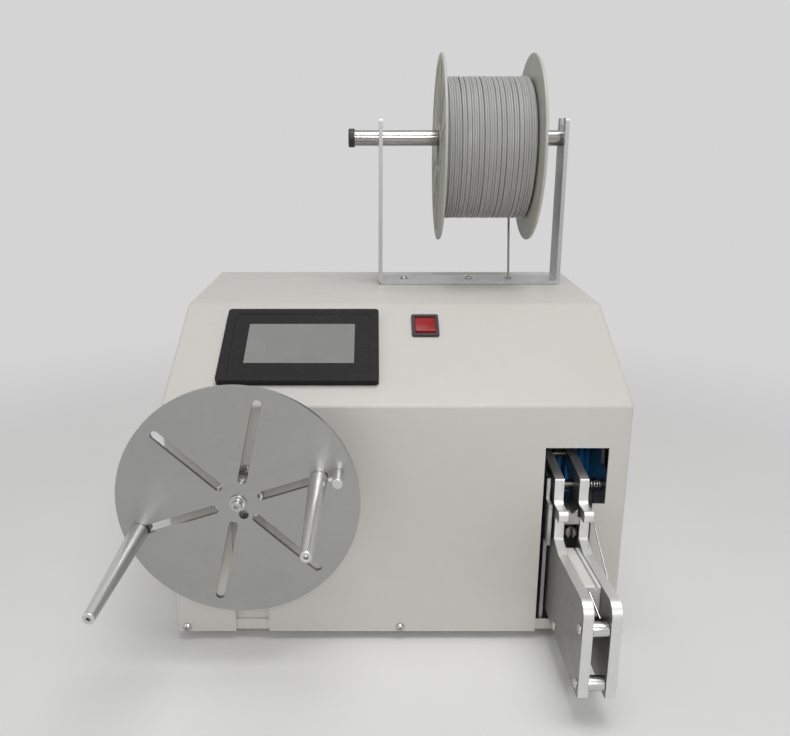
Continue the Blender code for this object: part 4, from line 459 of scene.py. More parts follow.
board_green = Finish("board_green", (0.01, 0.13, 0.07), Coat_Weight=0.4)
tracks = board_green.add("ShaderNodeTexBrick")
board_green.link(board_green.place(), tracks, "Vector")
board_green.link(160, tracks, "Scale")
board_green.link(0.04, tracks, "Mortar Size")
board_green.shade(((0.02, 0.24, 0.13), tracks.outputs["Fac"], 0.9))
board_green.gloss(board_green.noise(60), 0.3, 0.45)
board_green.bump((tracks.outputs["Fac"], 0.00004))
print(len(bpy.data.materials), "materials")

# %% [markdown]
# ## Making shapes
# Almost every piece here was once cut from sheet, turned on a lathe or milled from a plate. The tools
# below make the same three kinds of shape: a lathe turns a profile, a plate is cut to an outline, and a
# block is milled and then carved. Real edges are never knife sharp, so profiles carry small radii, and
# plates get a narrow bevel.

# %% Tools for shapes
up = Matrix.Identity(4)
along_x_axis = Matrix(((0, 0, 1), (1, 0, 0), (0, 1, 0))).to_4x4()
facing_front = Matrix(((1, 0, 0), (0, 0, -1), (0, 1, 0))).to_4x4()
bend_angle, crease_angle = math.radians(20), math.radians(34)


def at(x, y, z, turn=up):
    return Matrix.Translation((x, y, z)) @ turn


def rounded(corners, steps=5):
    """A path through corners (u, v) or (u, v, radius), with an arc where there is a radius."""
    path = []
    for index, (u, v, *radius) in enumerate(corners):
        here = Vector((u, v))
        if not radius:
            path.append(here)
            continue
        before = (Vector(corners[index - 1][:2]) - here).normalized()
        after = (Vector(corners[(index + 1) % len(corners)][:2]) - here).normalized()
        half = before.angle(after) / 2
        reach = radius[0] / math.tan(half)
        centre = here + (before + after).normalized() * radius[0] / math.sin(half)
        start = here + before * reach - centre
        sweep = start.angle_signed(here + after * reach - centre)
        path += [centre + Matrix.Rotation(-sweep * step / steps, 2) @ start for step in range(steps + 1)]
    return path


def ring(radius, middle=(0, 0), steps=48):
    turns = (2 * math.pi * step / steps for step in range(steps))
    return [Vector(middle) + radius * Vector((math.cos(turn), math.sin(turn))) for turn in turns]


def rectangle(low, high, radius):
    corners = [(low[0], low[1]), (high[0], low[1]), (high[0], high[1]), (low[0], high[1])]
    return rounded([(*corner, radius) for corner in corners])


def moved(shape, place):
    shape.transform(place)
    return shape


def lathe(profile, steps=96, closed=False):
    """A turned shape about its own Z, from a profile of radius and height."""
    shape = bmesh.new()
    points = [shape.verts.new((radius, 0, height)) for radius, height in rounded(profile)]
    pairs = list(zip(points, points[1:])) + ([(points[-1], points[0])] if closed else [])
    edges = [shape.edges.new(pair) for pair in pairs]
    spun = {"cent": (0, 0, 0), "axis": (0, 0, 1), "angle": 2 * math.pi, "steps": steps, "use_merge": True}
    bmesh.ops.spin(shape, geom=points + edges, **spun)
    bmesh.ops.remove_doubles(shape, verts=shape.verts, dist=0.0000001)
    bmesh.ops.recalc_face_normals(shape, faces=shape.faces)
    return shape


def cylinder(radius, low, high, steps=48):
    return lathe([(0, high), (radius, high), (radius, low), (0, low)], steps)


def as_shape(obj):
    """The finished mesh of an object, modifiers included. The object itself is removed."""
    bpy.context.view_layer.update()
    mesh = bpy.data.meshes.new_from_object(obj.evaluated_get(bpy.context.evaluated_depsgraph_get()))
    shape = bmesh.new()
    shape.from_mesh(mesh)
    bpy.data.objects.remove(obj)
    bpy.data.meshes.remove(mesh)
    return shape


def drawn(paths, closed, **settings):
    """The shape of a curve along paths, with its settings for depth."""
    curve = bpy.data.curves.new("outline", "CURVE")
    for label, value in settings.items():
        setattr(curve, label, value)
    for path in paths:
        spline = curve.splines.new("POLY")
        spline.points.add(len(path) - 1)
        spline.use_cyclic_u = closed
        for point, where in zip(spline.points, path):
            point.co = (*Vector(where).to_3d(), 1)
    line = bpy.data.objects.new("outline", curve)
    scene.collection.objects.link(line)
    return as_shape(line)


def plate(outlines, thickness):
    """A flat shape cut to outlines, the first the outer one, with half its thickness on each side of XY."""
    shape = drawn(outlines, True, dimensions="2D", fill_mode="BOTH", extrude=thickness / 2)
    bmesh.ops.remove_doubles(shape, verts=shape.verts, dist=0.000001)
    bmesh.ops.recalc_face_normals(shape, faces=shape.faces)
    return shape


def wire(points, radius, resolution=3):
    """A round wire along points, as a shape with capped ends."""
    depth = {"bevel_depth": radius, "bevel_resolution": resolution, "use_fill_caps": True}
    return drawn([points], False, dimensions="3D", **depth)


def block(low, high):
    """A rectangular block between two corners."""
    low, high = Vector(low), Vector(high)
    shape = bmesh.new()
    bmesh.ops.create_cube(shape, size=1)
    bmesh.ops.scale(shape, vec=high - low, verts=shape.verts)
    bmesh.ops.translate(shape, vec=(low + high) / 2, verts=shape.verts)
    return shape


def loose(shape, name="helper"):
    """Puts a shape into the scene as an object."""
    mesh = bpy.data.meshes.new(name)
    shape.to_mesh(mesh)
    shape.free()
    obj = bpy.data.objects.new(name, mesh)
    scene.collection.objects.link(obj)
    return obj


def carve(shape, cutters, operation="DIFFERENCE"):
    """The shape with every cutter taken out of it, or joined to it."""
    target = loose(shape)
    helpers = [loose(cutter) for cutter in cutters]
    for helper in helpers:
        knife = target.modifiers.new("carve", "BOOLEAN")
        knife.operation = operation
        knife.solver = "EXACT"
        knife.object = helper
    carved = as_shape(target)
    for helper in helpers:
        bpy.data.objects.remove(helper)
    return carved


def piece(name, shape, finish, place, node, edge=0.0):
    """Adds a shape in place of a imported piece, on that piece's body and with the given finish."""
    obj = loose(moved(shape, machine @ place), name)
    mesh = obj.data
    mesh.materials.append(finish.material)
    mesh.shade_smooth()
    if edge:
        bevel = obj.modifiers.new("edges", "BEVEL")
        bevel.width = edge
        bevel.segments = 2
        bevel.limit_method = "ANGLE"
        bevel.angle_limit = crease_angle
        weighted = obj.modifiers.new("normals", "WEIGHTED_NORMAL")
        weighted.keep_sharp = True
    else:
        mesh.set_sharp_from_angle(angle=crease_angle)
    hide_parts(node)
    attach(obj, body_of[node])
    return obj


def length_of(node):
    """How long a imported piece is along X."""
    low, high = box_of(node)
    return high.x - low.x


def turned(name, profile, finish, y, z, node, steps=96):
    """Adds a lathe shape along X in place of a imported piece."""
    piece(name, lathe(profile, steps), finish, at(box_of(node)[0].x, y, z, along_x_axis), node)


def plate_pair(name, outlines, node, edge):
    """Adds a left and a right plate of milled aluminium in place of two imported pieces."""
    for side in ("left", "right"):
        place = at(middle_of(f"{node}_{side}").x, 0, 0, along_x_axis)
        shape = plate(outlines, length_of(f"{node}_{side}"))
        piece(f"{name}_{side}", shape, milled_aluminium, place, f"{node}_{side}", edge=edge)


# %% [markdown]
# ## Hood
# The hood is one sheet of 1.5 mm steel, bent over the front, the slope and the top, with its sides welded
# in and ground smooth. It is made as the bender sees it: an open surface whose bends are rounded first and
# which then gets its thickness inwards. Only after that are the openings cut, so their edges are square to
# the sheet, as a laser leaves them. Each opening is taken from the piece that goes into it.

# %% Hood
sheet, bend_radius = 0.0015, 0.0025
fold_height, slope_run = 0.2186, 0.127
slope_angle = math.atan2(hood_height - fold_height, slope_run)
slope_turn = Matrix.Rotation(slope_angle, 4, "X")
disc_x, disc_z = middle_of("winding_disc").xz
hole_x, hole_radius, stand_y = 0.128, 0.004, middle_of("spool_stand").y
past = 0.01


def on_slope(x, height):
    """A place on the slope, a height above its lower fold."""
    return Matrix.Translation((x, 0, fold_height)) @ slope_turn @ Matrix.Translation((0, height, 0))


shell = block((-hood_width / 2, 0, 0), (hood_width / 2, hood_depth, hood_height))
everything = shell.verts[:] + shell.edges[:] + shell.faces[:]
slope = {"plane_co": (0, 0, fold_height), "plane_no": slope_turn @ Vector((0, 0, 1))}
bmesh.ops.bisect_plane(shell, geom=everything, clear_outer=True, **slope)
bmesh.ops.holes_fill(shell, edges=[edge for edge in shell.edges if edge.is_boundary])
bmesh.ops.recalc_face_normals(shell, faces=shell.faces)
bmesh.ops.delete(shell, geom=[face for face in shell.faces if face.normal.z < -0.5], context="FACES")
folded = loose(shell)
bends = folded.modifiers.new("bends", "BEVEL")
bends.width, bends.segments, bends.limit_method, bends.angle_limit = bend_radius, 5, "ANGLE", bend_angle
wall = folded.modifiers.new("sheet", "SOLIDIFY")
wall.thickness, wall.offset, wall.use_even_offset = sheet, -1, True

screen_place = on_slope(-0.0865, 0.0745)
switch_place = on_slope(0.028, 0.1055)
seat_height = disc_z + 0.015
shaft_slot = rounded([
    (disc_x - 0.015, -past), (disc_x + 0.015, -past), (disc_x + 0.015, seat_height, 0.01499),
    (disc_x - 0.015, seat_height, 0.01499),
], 24)
arm_slot = [
    (0.1275, -past), (0.171, -past), (0.171, 0.1277), (0.182, 0.1277), (0.182, 0.1803),
    (0.1275, 0.1803),
]
inlet = middle_of("power_inlet")
inlet_half = Vector((0.0203, past, 0.0103))
inlet_middle = Vector((inlet.x, hood_depth, inlet.z))
cutters = [
    moved(plate([shaft_slot], past), facing_front),
    moved(plate([arm_slot], past), facing_front),
    moved(block((-0.0653, -0.0443, -past), (0.0653, 0.0443, past / 2)), screen_place),
    moved(block((-0.0109, -0.0136, -past), (0.0109, 0.0136, past / 2)), switch_place),
    block(inlet_middle - inlet_half, inlet_middle + inlet_half),
    moved(cylinder(hole_radius, -past, past), at(hole_x, stand_y, hood_height)),
]
hood = piece("hood_shell", carve(as_shape(folded), cutters), powder_coat, up, "hood")
print("hood faces:", len(hood.data.polygons), "slope in degrees:", round(math.degrees(slope_angle), 1))

# %% [markdown]
# ## Screws
# The hood is held by pan-head screws with a cross recess. A cross recess is four tapering wings, and two
# crossed blocks with a slight taper are close enough at this size. The screws of the stand are the same
# kind.

# %% Pan-head screws
def pan_screw(name, place, node):
    head = [
        (0, 0.0027), (0.0020, 0.0026, 0.0015), (0.0040, 0.0014, 0.0010), (0.0040, 0.0003),
        (0.0020, 0.0003), (0.0020, -0.006), (0, -0.006),
    ]
    wings = []
    for turn in (0.2, 0.2 + math.pi / 2):
        wing = block((-0.0021, -0.0004, 0.0012), (0.0021, 0.0004, 0.004))
        for corner in wing.verts:
            if corner.co.z < 0.002:
                corner.co.x *= 0.5
        wings.append(moved(wing, Matrix.Rotation(turn, 4, "Z")))
    piece(name, carve(lathe(head, 48), wings), plated_steel, place, node)


for side in ("left", "middle"):
    where = middle_of(f"hood_screw_{side}")
    pan_screw(f"front_screw_{side}", at(where.x, 0, where.z, facing_front), f"hood_screw_{side}")
for side in ("left", "right"):
    node = f"stand_screw_{side}"
    where, screw_top = middle_of(node), box_of(node)[1].z
    pan_screw(f"stand_bolt_{side}", at(where.x, where.y, screw_top - 0.0024), node)

# %% [markdown]
# ## Touch screen
# The screen is a moulded case clipped into the slope. Its front has a raised rim with a rounded lip, a
# flat border set slightly back and the display in the middle. The rim catches the light at its lower
# corners, which is what makes it read as glossy plastic. The case and the display are separate pieces, as
# they are in the machine.

# %% Touch screen
bezel = plate([rectangle((-0.071, -0.050), (0.071, 0.050), 0.0035)], 0.006)
body = block((-0.0645, -0.0435, -0.034), (0.0645, 0.0435, -0.002))
panel_recess = plate([rectangle((-0.0625, -0.0425), (0.0625, 0.0425), 0.004)], 0.002)
display_recess = block((-0.0493, -0.0268, 0.0046), (0.0493, 0.0283, 0.01))
case_shape = carve(moved(bezel, at(0, 0, 0.0033)), [body], "UNION")
case_shape = carve(case_shape, [moved(panel_recess, at(0, 0, 0.0068)), display_recess])
case = piece("touch_screen_case", case_shape, case_black, screen_place, "screen_case", edge=0.0007)
glass_shape = block((-0.0490, -0.02645, 0.00465), (0.0490, 0.02805, 0.0057))
piece("touch_screen_display", glass_shape, display, screen_place, "screen_glass", edge=0.0002)
print("screen in mm:", [round(length * 1000) for length in case.dimensions])

# %% [markdown]
# ## Rocker switch
# The rocker is one moulding with two faces that meet in a shallow valley, so that one side always stands
# proud. It sits in a black frame with a rounded collar. The rocker tilts about X, so it is drawn from the
# side as an outline with a long soft valley and then given its width.

# %% Rocker switch
collar = plate([rectangle((-0.01275, -0.0155), (0.01275, 0.0155), 0.002)], 0.0022)
housing = block((-0.0103, -0.0130, -0.020), (0.0103, 0.0130, 0.0005))
well = block((-0.00955, -0.0121, -0.0088), (0.00955, 0.0121, 0.01))
frame_shape = carve(carve(moved(collar, at(0, 0, 0.0014)), [housing], "UNION"), [well])
piece("switch_collar", frame_shape, socket_black, switch_place, "switch_frame", edge=0.0005)

half_outline = [(0.0118, -0.0018, 0.0008), (0.0116, 0.0034, 0.0011), (0.0060, 0.0024)]
other_half = [(-u, *rest) for u, *rest in reversed(half_outline)]
foot = [(-0.003, -0.007, 0.001), (0.003, -0.007, 0.001)]
rocker_corners = half_outline + [(0, 0.0015, 0.02)] + other_half + foot
tilt = Matrix.Rotation(math.radians(-8), 4, "X")
rocker_shape = plate([rounded(rocker_corners, 6)], 0.0185)
rocker_place = switch_place @ tilt @ along_x_axis
piece("red_rocker", rocker_shape, rocker_red, rocker_place, "switch_rocker", edge=0.0006)

# %% [markdown]
# ## Winding disc
# The disc is 4 mm aluminium with six radial slots, in which the posts slide to suit the coil. The outline
# has its true round ends and the edges are broken by a third of a millimetre, which gives the bright rim
# that the photograph shows. The extra round hole near the middle takes a locating peg.

# %% Disc
disc_low, disc_high = box_of("winding_disc")
disc_centre = at(disc_x, (disc_low.y + disc_high.y) / 2, disc_z, facing_front)
slot_ends = rectangle((0.017, -0.00375), (0.0903, 0.00375), 0.00374)
slot_start = math.radians(17.5)
openings = [ring(0.1, steps=180), ring(0.0033), ring(0.004, (0.0045, -0.0105))]
for index in range(6):
    turn = Matrix.Rotation(slot_start + index * math.pi / 3, 2)
    openings.append([turn @ corner for corner in slot_ends])
disc_shape = plate(openings, 0.004)
disc = piece("slotted_disc", disc_shape, disc_aluminium, disc_centre, "winding_disc", edge=0.0003)
print("disc across in mm:", round(disc.dimensions.x * 1000, 1))

# %% [markdown]
# ## Disc screw
# A socket screw with a wide washer and a spring washer holds the disc to its spindle. The spring washer is
# what makes the screw look assembled: it is a split ring that leans a little, so its two ends don't meet.

# %% Disc screw and washers
seat = disc_low.y - 0.0003
screw_profile = [
    (0, 0.0078), (0.0042, 0.0078, 0.0006), (0.0045, 0.0035, 0.0004), (0.0045, 0.0030),
    (0.0030, 0.0030), (0.0030, -0.016), (0, -0.016),
]
hexagon = moved(plate([ring(0.0024, steps=6)], 0.006), at(0, 0, 0.0075))
washer = lathe([(0.0032, 0.0015), (0.0068, 0.0015, 0.0003), (0.0070, 0, 0.0003), (0.0032, 0)], closed=True)
split = []
for step in range(41):
    turn = 0.15 + step * (2 * math.pi - 0.3) / 40
    split.append((0.0044 * math.cos(turn), 0.0044 * math.sin(turn), 0.0022 + 0.0006 * turn / (2 * math.pi)))
spring_washer = wire(split, 0.0008)
head_shape = carve(lathe(screw_profile, 64), [hexagon])
head_shape = carve(head_shape, [washer, spring_washer], "UNION")
piece("disc_bolt", head_shape, plated_steel, at(disc_x, seat, disc_z, facing_front), "disc_screw")

# %% [markdown]
# ## Winding posts
# A post is a turned cone that tapers towards its tip, so that the finished coil slides off. The tip is
# faced flat and drilled. A parallel collar stands on the disc, and a stud below it goes through the slot
# to a nut. The taper leaves a long highlight, which a lathe profile gives exactly.

# %% Posts, nuts and clamp pin
post_profile = [
    (0, 0.1215), (0.0016, 0.1215), (0.0016, 0.1260, 0.0003), (0.0043, 0.1260, 0.0012),
    (0.0075, 0.0040, 0.0060), (0.0075, 0.0, 0.0004), (0.00345, 0.0), (0.00345, -0.0135, 0.0005),
    (0, -0.0135),
]
nut_half = [(0, 0.0031), (0.0082, 0.0031), (0.0092, 0.0022)]
nut_profile = nut_half + [(radius, -height) for radius, height in reversed(nut_half)]
for side in ("left", "right"):
    where = middle_of(f"post_{side}")
    place = at(where.x, seat, where.z, facing_front)
    piece(f"winding_post_{side}", lathe(post_profile), turned_aluminium, place, f"post_{side}")
    nut = plate([ring(0.009, steps=6), ring(0.00375, steps=32)], 0.006)
    nut = carve(nut, [lathe(nut_profile)], "INTERSECT")
    place = at(*middle_of(f"post_nut_{side}"), facing_front)
    piece(f"clamping_nut_{side}", nut, plated_steel, place, f"post_nut_{side}", edge=0.0003)
    reach = (where.xz - Vector((disc_x, disc_z))).length
    print(side, "post at radius in mm:", round(reach * 1000, 1))

outward = Vector((math.cos(slot_start), 0, math.sin(slot_start)))
pin_centre = Vector((disc_x, seat, disc_z)) + outward * 0.08655
pin_profile = [
    (0, 0.021), (0.0044, 0.021, 0.0010), (0.0044, 0, 0.0003), (0.0034, 0), (0.0034, -0.0038),
    (0, -0.0038),
]
boss_profile = [(0, 0.0080), (0.0023, 0.0080, 0.0004), (0.0023, 0), (0, 0)]
boss_turn = Matrix.Rotation(-math.pi / 2 - slot_start, 4, "Y")
boss = moved(lathe(boss_profile, 48), facing_front.inverted() @ at(0, -0.008, 0, boss_turn))
pin_shape = carve(lathe(pin_profile, 64), [boss], "UNION")
piece("cable_end_pin", pin_shape, turned_aluminium, at(*pin_centre, facing_front), "clamp_pin")

# %% [markdown]
# ## Spool stand
# The stand is one flat bar bent twice into a wide U. Each upright ends in an open notch with a round seat,
# so the shaft is simply laid in. The bend is drawn in the front view with the radius of a press brake, and
# the tops are then rounded in the side view by keeping only what lies inside a second outline.

# %% Stand
stand_low, stand_high = box_of("spool_stand")
shaft_z = middle_of("spool_shaft").z
bar, seat_radius = 0.004, 0.0083
left, right, base, top = stand_low.x, stand_high.x, stand_low.z, stand_high.z
bent = rounded([
    (left, base, 0.005), (right, base, 0.005), (right, top), (right - bar, top),
    (right - bar, base + bar, 0.0012), (left + bar, base + bar, 0.0012), (left + bar, top),
    (left, top),
], 8)
half = (stand_high.y - stand_low.y) / 2
side_view = rounded([(-half, base - past), (half, base - past), (half, top, 0.003), (-half, top, 0.003)])
notch = rounded([
    (-seat_radius, top + past), (-seat_radius, shaft_z - seat_radius, 0.00829),
    (seat_radius, shaft_z - seat_radius, 0.00829), (seat_radius, top + past),
], 12)
across, sideways = right - left + 2 * past, at((left + right) / 2, stand_y, 0, along_x_axis)
stand_shape = moved(plate([bent], 2 * half), at(0, stand_y, 0, facing_front))
stand_shape = carve(stand_shape, [moved(plate([side_view], across), sideways)], "INTERSECT")
wire_hole = moved(cylinder(hole_radius, -past, past), at(hole_x, stand_y, base))
stand_shape = carve(stand_shape, [moved(plate([notch], across), sideways), wire_hole])
piece("bent_bar_stand", stand_shape, bar_steel, up, "spool_stand", edge=0.0004)

# %% [markdown]
# ## Shaft and its cap
# The shaft is ground steel bar with a chamfer and a centre hole from the lathe. A push-on plastic cap
# closes its left end.

# %% Shaft and cap
end = length_of("spool_shaft")
profile = [
    (0, end - 0.003), (0.0012, end - 0.0015), (0.0026, end), (0.0070, end, 0.0001),
    (0.0080, end - 0.001, 0.0002), (0.0080, 0), (0, 0),
]
turned("ground_shaft", profile, ground_shaft, stand_y, shaft_z, "spool_shaft")
end = length_of("shaft_cap")
profile = [(0, 0.0015), (0.0083, 0.0015), (0.0083, end), (0.0096, end, 0.0005), (0.0096, 0, 0.0012), (0, 0)]
turned("end_cap", profile, socket_black, stand_y, shaft_z, "shaft_cap")

# %% [markdown]
# ## Spool
# The spool is a moulding: two flanges that thin towards a rounded rim, on a hub with a bore. The outside
# of each flange is hollowed between the hub and the rim and stiffened with ribs, as mouldings are, to keep
# the wall even. A small hole near the rim holds the end of the wire while the spool is on the shelf. The
# bore is wider than the shaft, so the spool hangs on it, and its middle lies lower than the shaft's.

# %% Spool
spool_width = length_of("spool")
spool_radius, bore_radius, rib_depth = 0.095, 0.0190, 0.0014
reel_profile = [
    (0.0300, 0.0050), (spool_radius - 0.004, 0.0031, 0.01), (spool_radius, 0.0028, 0.0011),
    (spool_radius, 0, 0.0011), (0.0885, 0, 0.0006), (0.0875, 0.0012, 0.0005), (0.0260, 0.0016, 0.0005),
    (0.0250, 0, 0.0005), (bore_radius, 0, 0.0005),
]
mirrored = [(radius, spool_width - height, *rest) for radius, height, *rest in reversed(reel_profile)]
reel_shape = lathe(mirrored + reel_profile, 128, closed=True)
ribs = []
for index in range(12):
    for height in (0.0002, spool_width - 0.0016):
        rib = block((0.024, -0.0007, height), (0.0885, 0.0007, height + rib_depth))
        ribs.append(moved(rib, Matrix.Rotation(index * math.pi / 6 + 0.2, 4, "Z")))
reel_shape = carve(reel_shape, ribs, "UNION")
peg_hole = cylinder(0.0016, spool_width - past, spool_width + past, 24)
reel_shape = carve(reel_shape, [moved(peg_hole, at(0, spool_radius - 0.006, 0))])
spool_z = middle_of("spool").z
spool_place = at(box_of("spool")[0].x, stand_y, spool_z, along_x_axis)
piece("moulded_spool", reel_shape, spool_plastic, spool_place, "spool")

# %% [markdown]
# ## Tie wire on the spool
# Wire that a machine has wound lies in tidy turns, but never perfectly: a turn leans on its neighbour,
# rises a little over it or leaves a gap. The top layer here is one continuous wire of 35 turns. Slow waves
# of different lengths shift it sideways and outwards, which are smooth along the wire and differ from turn
# to turn. A ridged bed below it stands for the layers that show in the gaps.

# %% Winding
wire_radius, wound_outside = 0.0012, 0.0725
inner = 0.0054
wound_width = spool_width - 2 * inner
turn_count, turn_points = 35, 60
pitch = (wound_width - 2 * wire_radius) / turn_count


def lean(turns):
    """How far the wire is shifted along the spool and outwards after so many turns, in metres."""
    sideways = 0.0002 * math.sin(turns * 2.7) + 0.00015 * math.sin(turns * 6.9 + 1.0)
    sideways += 0.0002 * math.sin(turns * 1.13 + 0.4) * math.sin(turns * 0.31)
    outwards = 0.00025 * math.sin(turns * 4.3 + 0.7) * math.sin(turns * 0.83)
    fade = min(1.0, turns / 2, (turn_count - turns) / 2)
    return sideways * fade, outwards - 0.0003


wound = []
for step in range(turn_count * turn_points + 1):
    turns = step / turn_points
    sideways, outwards = lean(turns)
    angle, radius = 2 * math.pi * turns, wound_outside - wire_radius + outwards
    along = inner + wire_radius + pitch * turns + sideways
    wound.append(Vector((radius * math.cos(angle), radius * math.sin(angle), along)))
piece("wound_tie_wire", wire(wound, wire_radius), wire_coat, spool_place, "wound_wire")
length = sum((b - a).length for a, b in zip(wound, wound[1:]))
print("wire in the top layer, m:", round(length, 1), "pitch in mm:", round(pitch * 1000, 2))

# %% Layers below
ridge_count = int(wound_width / 0.0025)
ridges = []
for index in range(ridge_count + 1):
    height = inner + wound_width * index / ridge_count
    ridges.append((0.0694 if index % 2 else 0.0686, height))
bed_profile = list(reversed(ridges)) + [(0.0305, inner), (0.0305, spool_width - inner)]
piece("inner_layers", lathe(bed_profile, closed=True), wire_coat, spool_place, "wound_bed")

# %% [markdown]
# ## Tie wire to the rollers
# The wire leaves the back of the winding, comes forward to a hole in the stand and the hood, drops inside
# and turns forward to the feed rollers. It is held along its whole way, so it is drawn as straight runs
# joined by the bends that a stiff coated wire takes. The spool gives the wire off to the right of the
# hole, and the rollers stand to the left of it, so the wire also slants sideways on its way.

# %% Run of wire
wire_reach = wound_outside + 0.0003 + wire_radius
base_top, roller_z, slant_end_z = base + bar, 0.052, 0.112
slant = math.asin(wire_reach / (spool_z - base_top))
route = rounded([
    (stand_y + wire_reach * math.cos(slant), spool_z - wire_reach * math.sin(slant)),
    (stand_y, base_top, 0.02), (stand_y, roller_z, 0.060), (0.085, roller_z),
], 16)
take_off_x, roller_x = hole_x + 0.006, hole_x - 0.004


def sideways_at(z):
    """The wire slants from its place on the spool to the hole, and on to the rollers."""
    if z > base_top:
        return hole_x + (take_off_x - hole_x) * (z - base_top) / (route[0].y - base_top)
    return roller_x + (hole_x - roller_x) * max(0, z - slant_end_z) / (base_top - slant_end_z)


run = wire([(sideways_at(z), y, z) for y, z in route], wire_radius)
piece("feeding_wire", run, wire_coat, up, "tie_wire")
length = sum((b - a).length for a, b in zip(route, route[1:]))
print("run of wire, mm:", round(length * 1000))

# %% [markdown]
# ## Tying arm
# Two thick aluminium plates, a finger's width apart, carry everything that ties. They are milled to one
# outline: a long nose over which the coil is laid, a throat, and a neck that the sprung jaws close on. The
# faces are satin and the milled edges bright, which the narrow bevel brings out.

# %% Arm plates
arm_low, arm_high = box_of("arm_plate_left")
right_low, right_high = box_of("arm_plate_right")
arm_middle = (arm_high.x + right_low.x) / 2
arm_outline = rounded([
    (-0.120, 0.020, 0.003), (arm_high.y, 0.020, 0.001), (arm_high.y, 0.062, 0.001), (0.044, 0.062),
    (0.044, 0.112, 0.001), (0.006, 0.112, 0.001), (0.006, 0.120, 0.001), (-0.011, 0.120, 0.0015),
    (-0.011, 0.100, 0.002), (-0.030, 0.095, 0.003), (-0.120, 0.1025, 0.012),
], 8)
spacer_places = {
    "front_spacer_upper": (-0.113, 0.078),
    "front_spacer_lower": (-0.113, 0.030),
    "rear_spacer": (-0.033, 0.028),
}
holes = [ring(0.0028, where, 32) for where in spacer_places.values()]
plate_pair("arm_side", [arm_outline] + holes, "arm_plate", 0.0007)

# %% [markdown]
# ## Spacers
# Each spacer is a turned bar with a shoulder between the plates and a riveted head outside each of them.

# %% Spacers
play = 0.0003
for node, (y, z) in spacer_places.items():
    end = length_of(node)
    a, b, c, d = (x - box_of(node)[0].x for x in (arm_low.x, arm_high.x, right_low.x, right_high.x))
    profile = [
        (0, end), (0.0030, end, 0.0004), (0.0040, d + 2 * play, 0.0003), (0.0040, d + play),
        (0.0025, d + play), (0.0025, c - play), (0.0060, c - play, 0.0004), (0.0060, b + play, 0.0004),
        (0.0025, b + play), (0.0025, a - play), (0.0040, a - play), (0.0040, a - 2 * play, 0.0003),
        (0.0030, 0, 0.0004), (0, 0),
    ]
    turned(node + "_bar", profile, turned_steel, y, z, node, 64)

# %% [markdown]
# ## Guide block
# White slippery plastic lines the throat between the plates and leads the wire round the coil through a
# groove. A thin round bar runs on from it to the upper spacer.

# %% Guide block and bar
guide_low, guide_high = box_of("guide_block")
guide_depth = guide_high.y - guide_low.y
front_top, back_top = guide_high.z, guide_high.z - guide_depth / 12
side_view = rounded([
    (guide_low.y, front_top - 0.028, 0.003), (guide_high.y, guide_low.z, 0.002),
    (guide_high.y, back_top, 0.0015), (guide_low.y, front_top, 0.0015),
])
guide_shape = plate([side_view], guide_high.x - guide_low.x)
groove = block((0.0018, -0.2, -0.003), (0.0036, 0.2, 0.01))
tilt = math.atan2(front_top - back_top, guide_depth)
groove = moved(groove, at(0, guide_low.y, front_top, Matrix.Rotation(-tilt, 4, "X")))
guide_shape = carve(moved(guide_shape, along_x_axis), [groove])
piece("guide_insert", guide_shape, guide_plastic, at(arm_middle, 0, 0), "guide_block", edge=0.0005)

bar_low, bar_high = box_of("guide_bar")
bar_radius = 0.001
start = (bar_low.x + bar_radius, bar_high.y - bar_radius, bar_high.z - bar_radius)
end = (bar_high.x - bar_radius, bar_low.y + bar_radius, bar_low.z + bar_radius)
rod = wire([start, Vector(start).lerp(Vector(end), 0.5), end], bar_radius, 4)
piece("guide_rod", rod, turned_steel, up, "guide_bar")

# %% [markdown]
# ## Cutter
# A hardened block between the plates cuts the wire. Its head is ground to two prongs with a notch between
# them, and its stem fills the gap in the neck.

# %% Cutter
cutter_low, cutter_high = box_of("wire_cutter")
stem = block(cutter_low, (cutter_high.x, cutter_high.y, 0.1205))
head_low = (arm_middle - 0.0045, cutter_low.y, 0.117)
head = block(head_low, (arm_middle + 0.0045, -cutter_low.y, cutter_high.z))
notch_turn = Matrix.Rotation(math.pi / 4, 4, "Y")
notch = moved(block((-0.0035, -0.05, -0.0035), (0.0035, 0.05, 0.0035)), notch_turn)
shape = carve(carve(stem, [head], "UNION"), [moved(notch, at(arm_middle, 0, cutter_high.z))])
piece("cutting_block", shape, cutter_steel, up, "wire_cutter", edge=0.0003)

# %% [markdown]
# ## Twisting head
# The head turns between the plates, catches both ends of the wire and twists them. It is a turned nose
# with collars and a slot across its face, on a shaft with the gear that drives it.

# %% Twisting head
twist_low, twist_high = box_of("twist_shaft")
twist_z = middle_of("twist_shaft").z
length = twist_high.y - twist_low.y
profile = [
    (0, length), (0.0040, length, 0.0008), (0.0060, length - 0.0018, 0.0006),
    (0.0060, length - 0.0058, 0.0004), (0.0044, length - 0.0060, 0.0004),
    (0.0044, length - 0.0088, 0.0004), (0.0060, length - 0.0090, 0.0004),
    (0.0060, length - 0.0160, 0.0004), (0.0042, length - 0.0160), (0.0042, 0), (0, 0),
]


def gear(teeth):
    """The outline of a spur gear: each tooth is four points about its pitch circle."""
    outline = []
    pitch_radius = gear_module * teeth / 2
    for tooth in range(teeth):
        for radius, share in ((-0.0012, -0.25), (0.0008, -0.13), (0.0008, 0.13), (-0.0012, 0.25)):
            angle = (tooth + share) * 2 * math.pi / teeth
            outline.append(Vector((math.cos(angle), math.sin(angle))) * (pitch_radius + radius))
    return outline


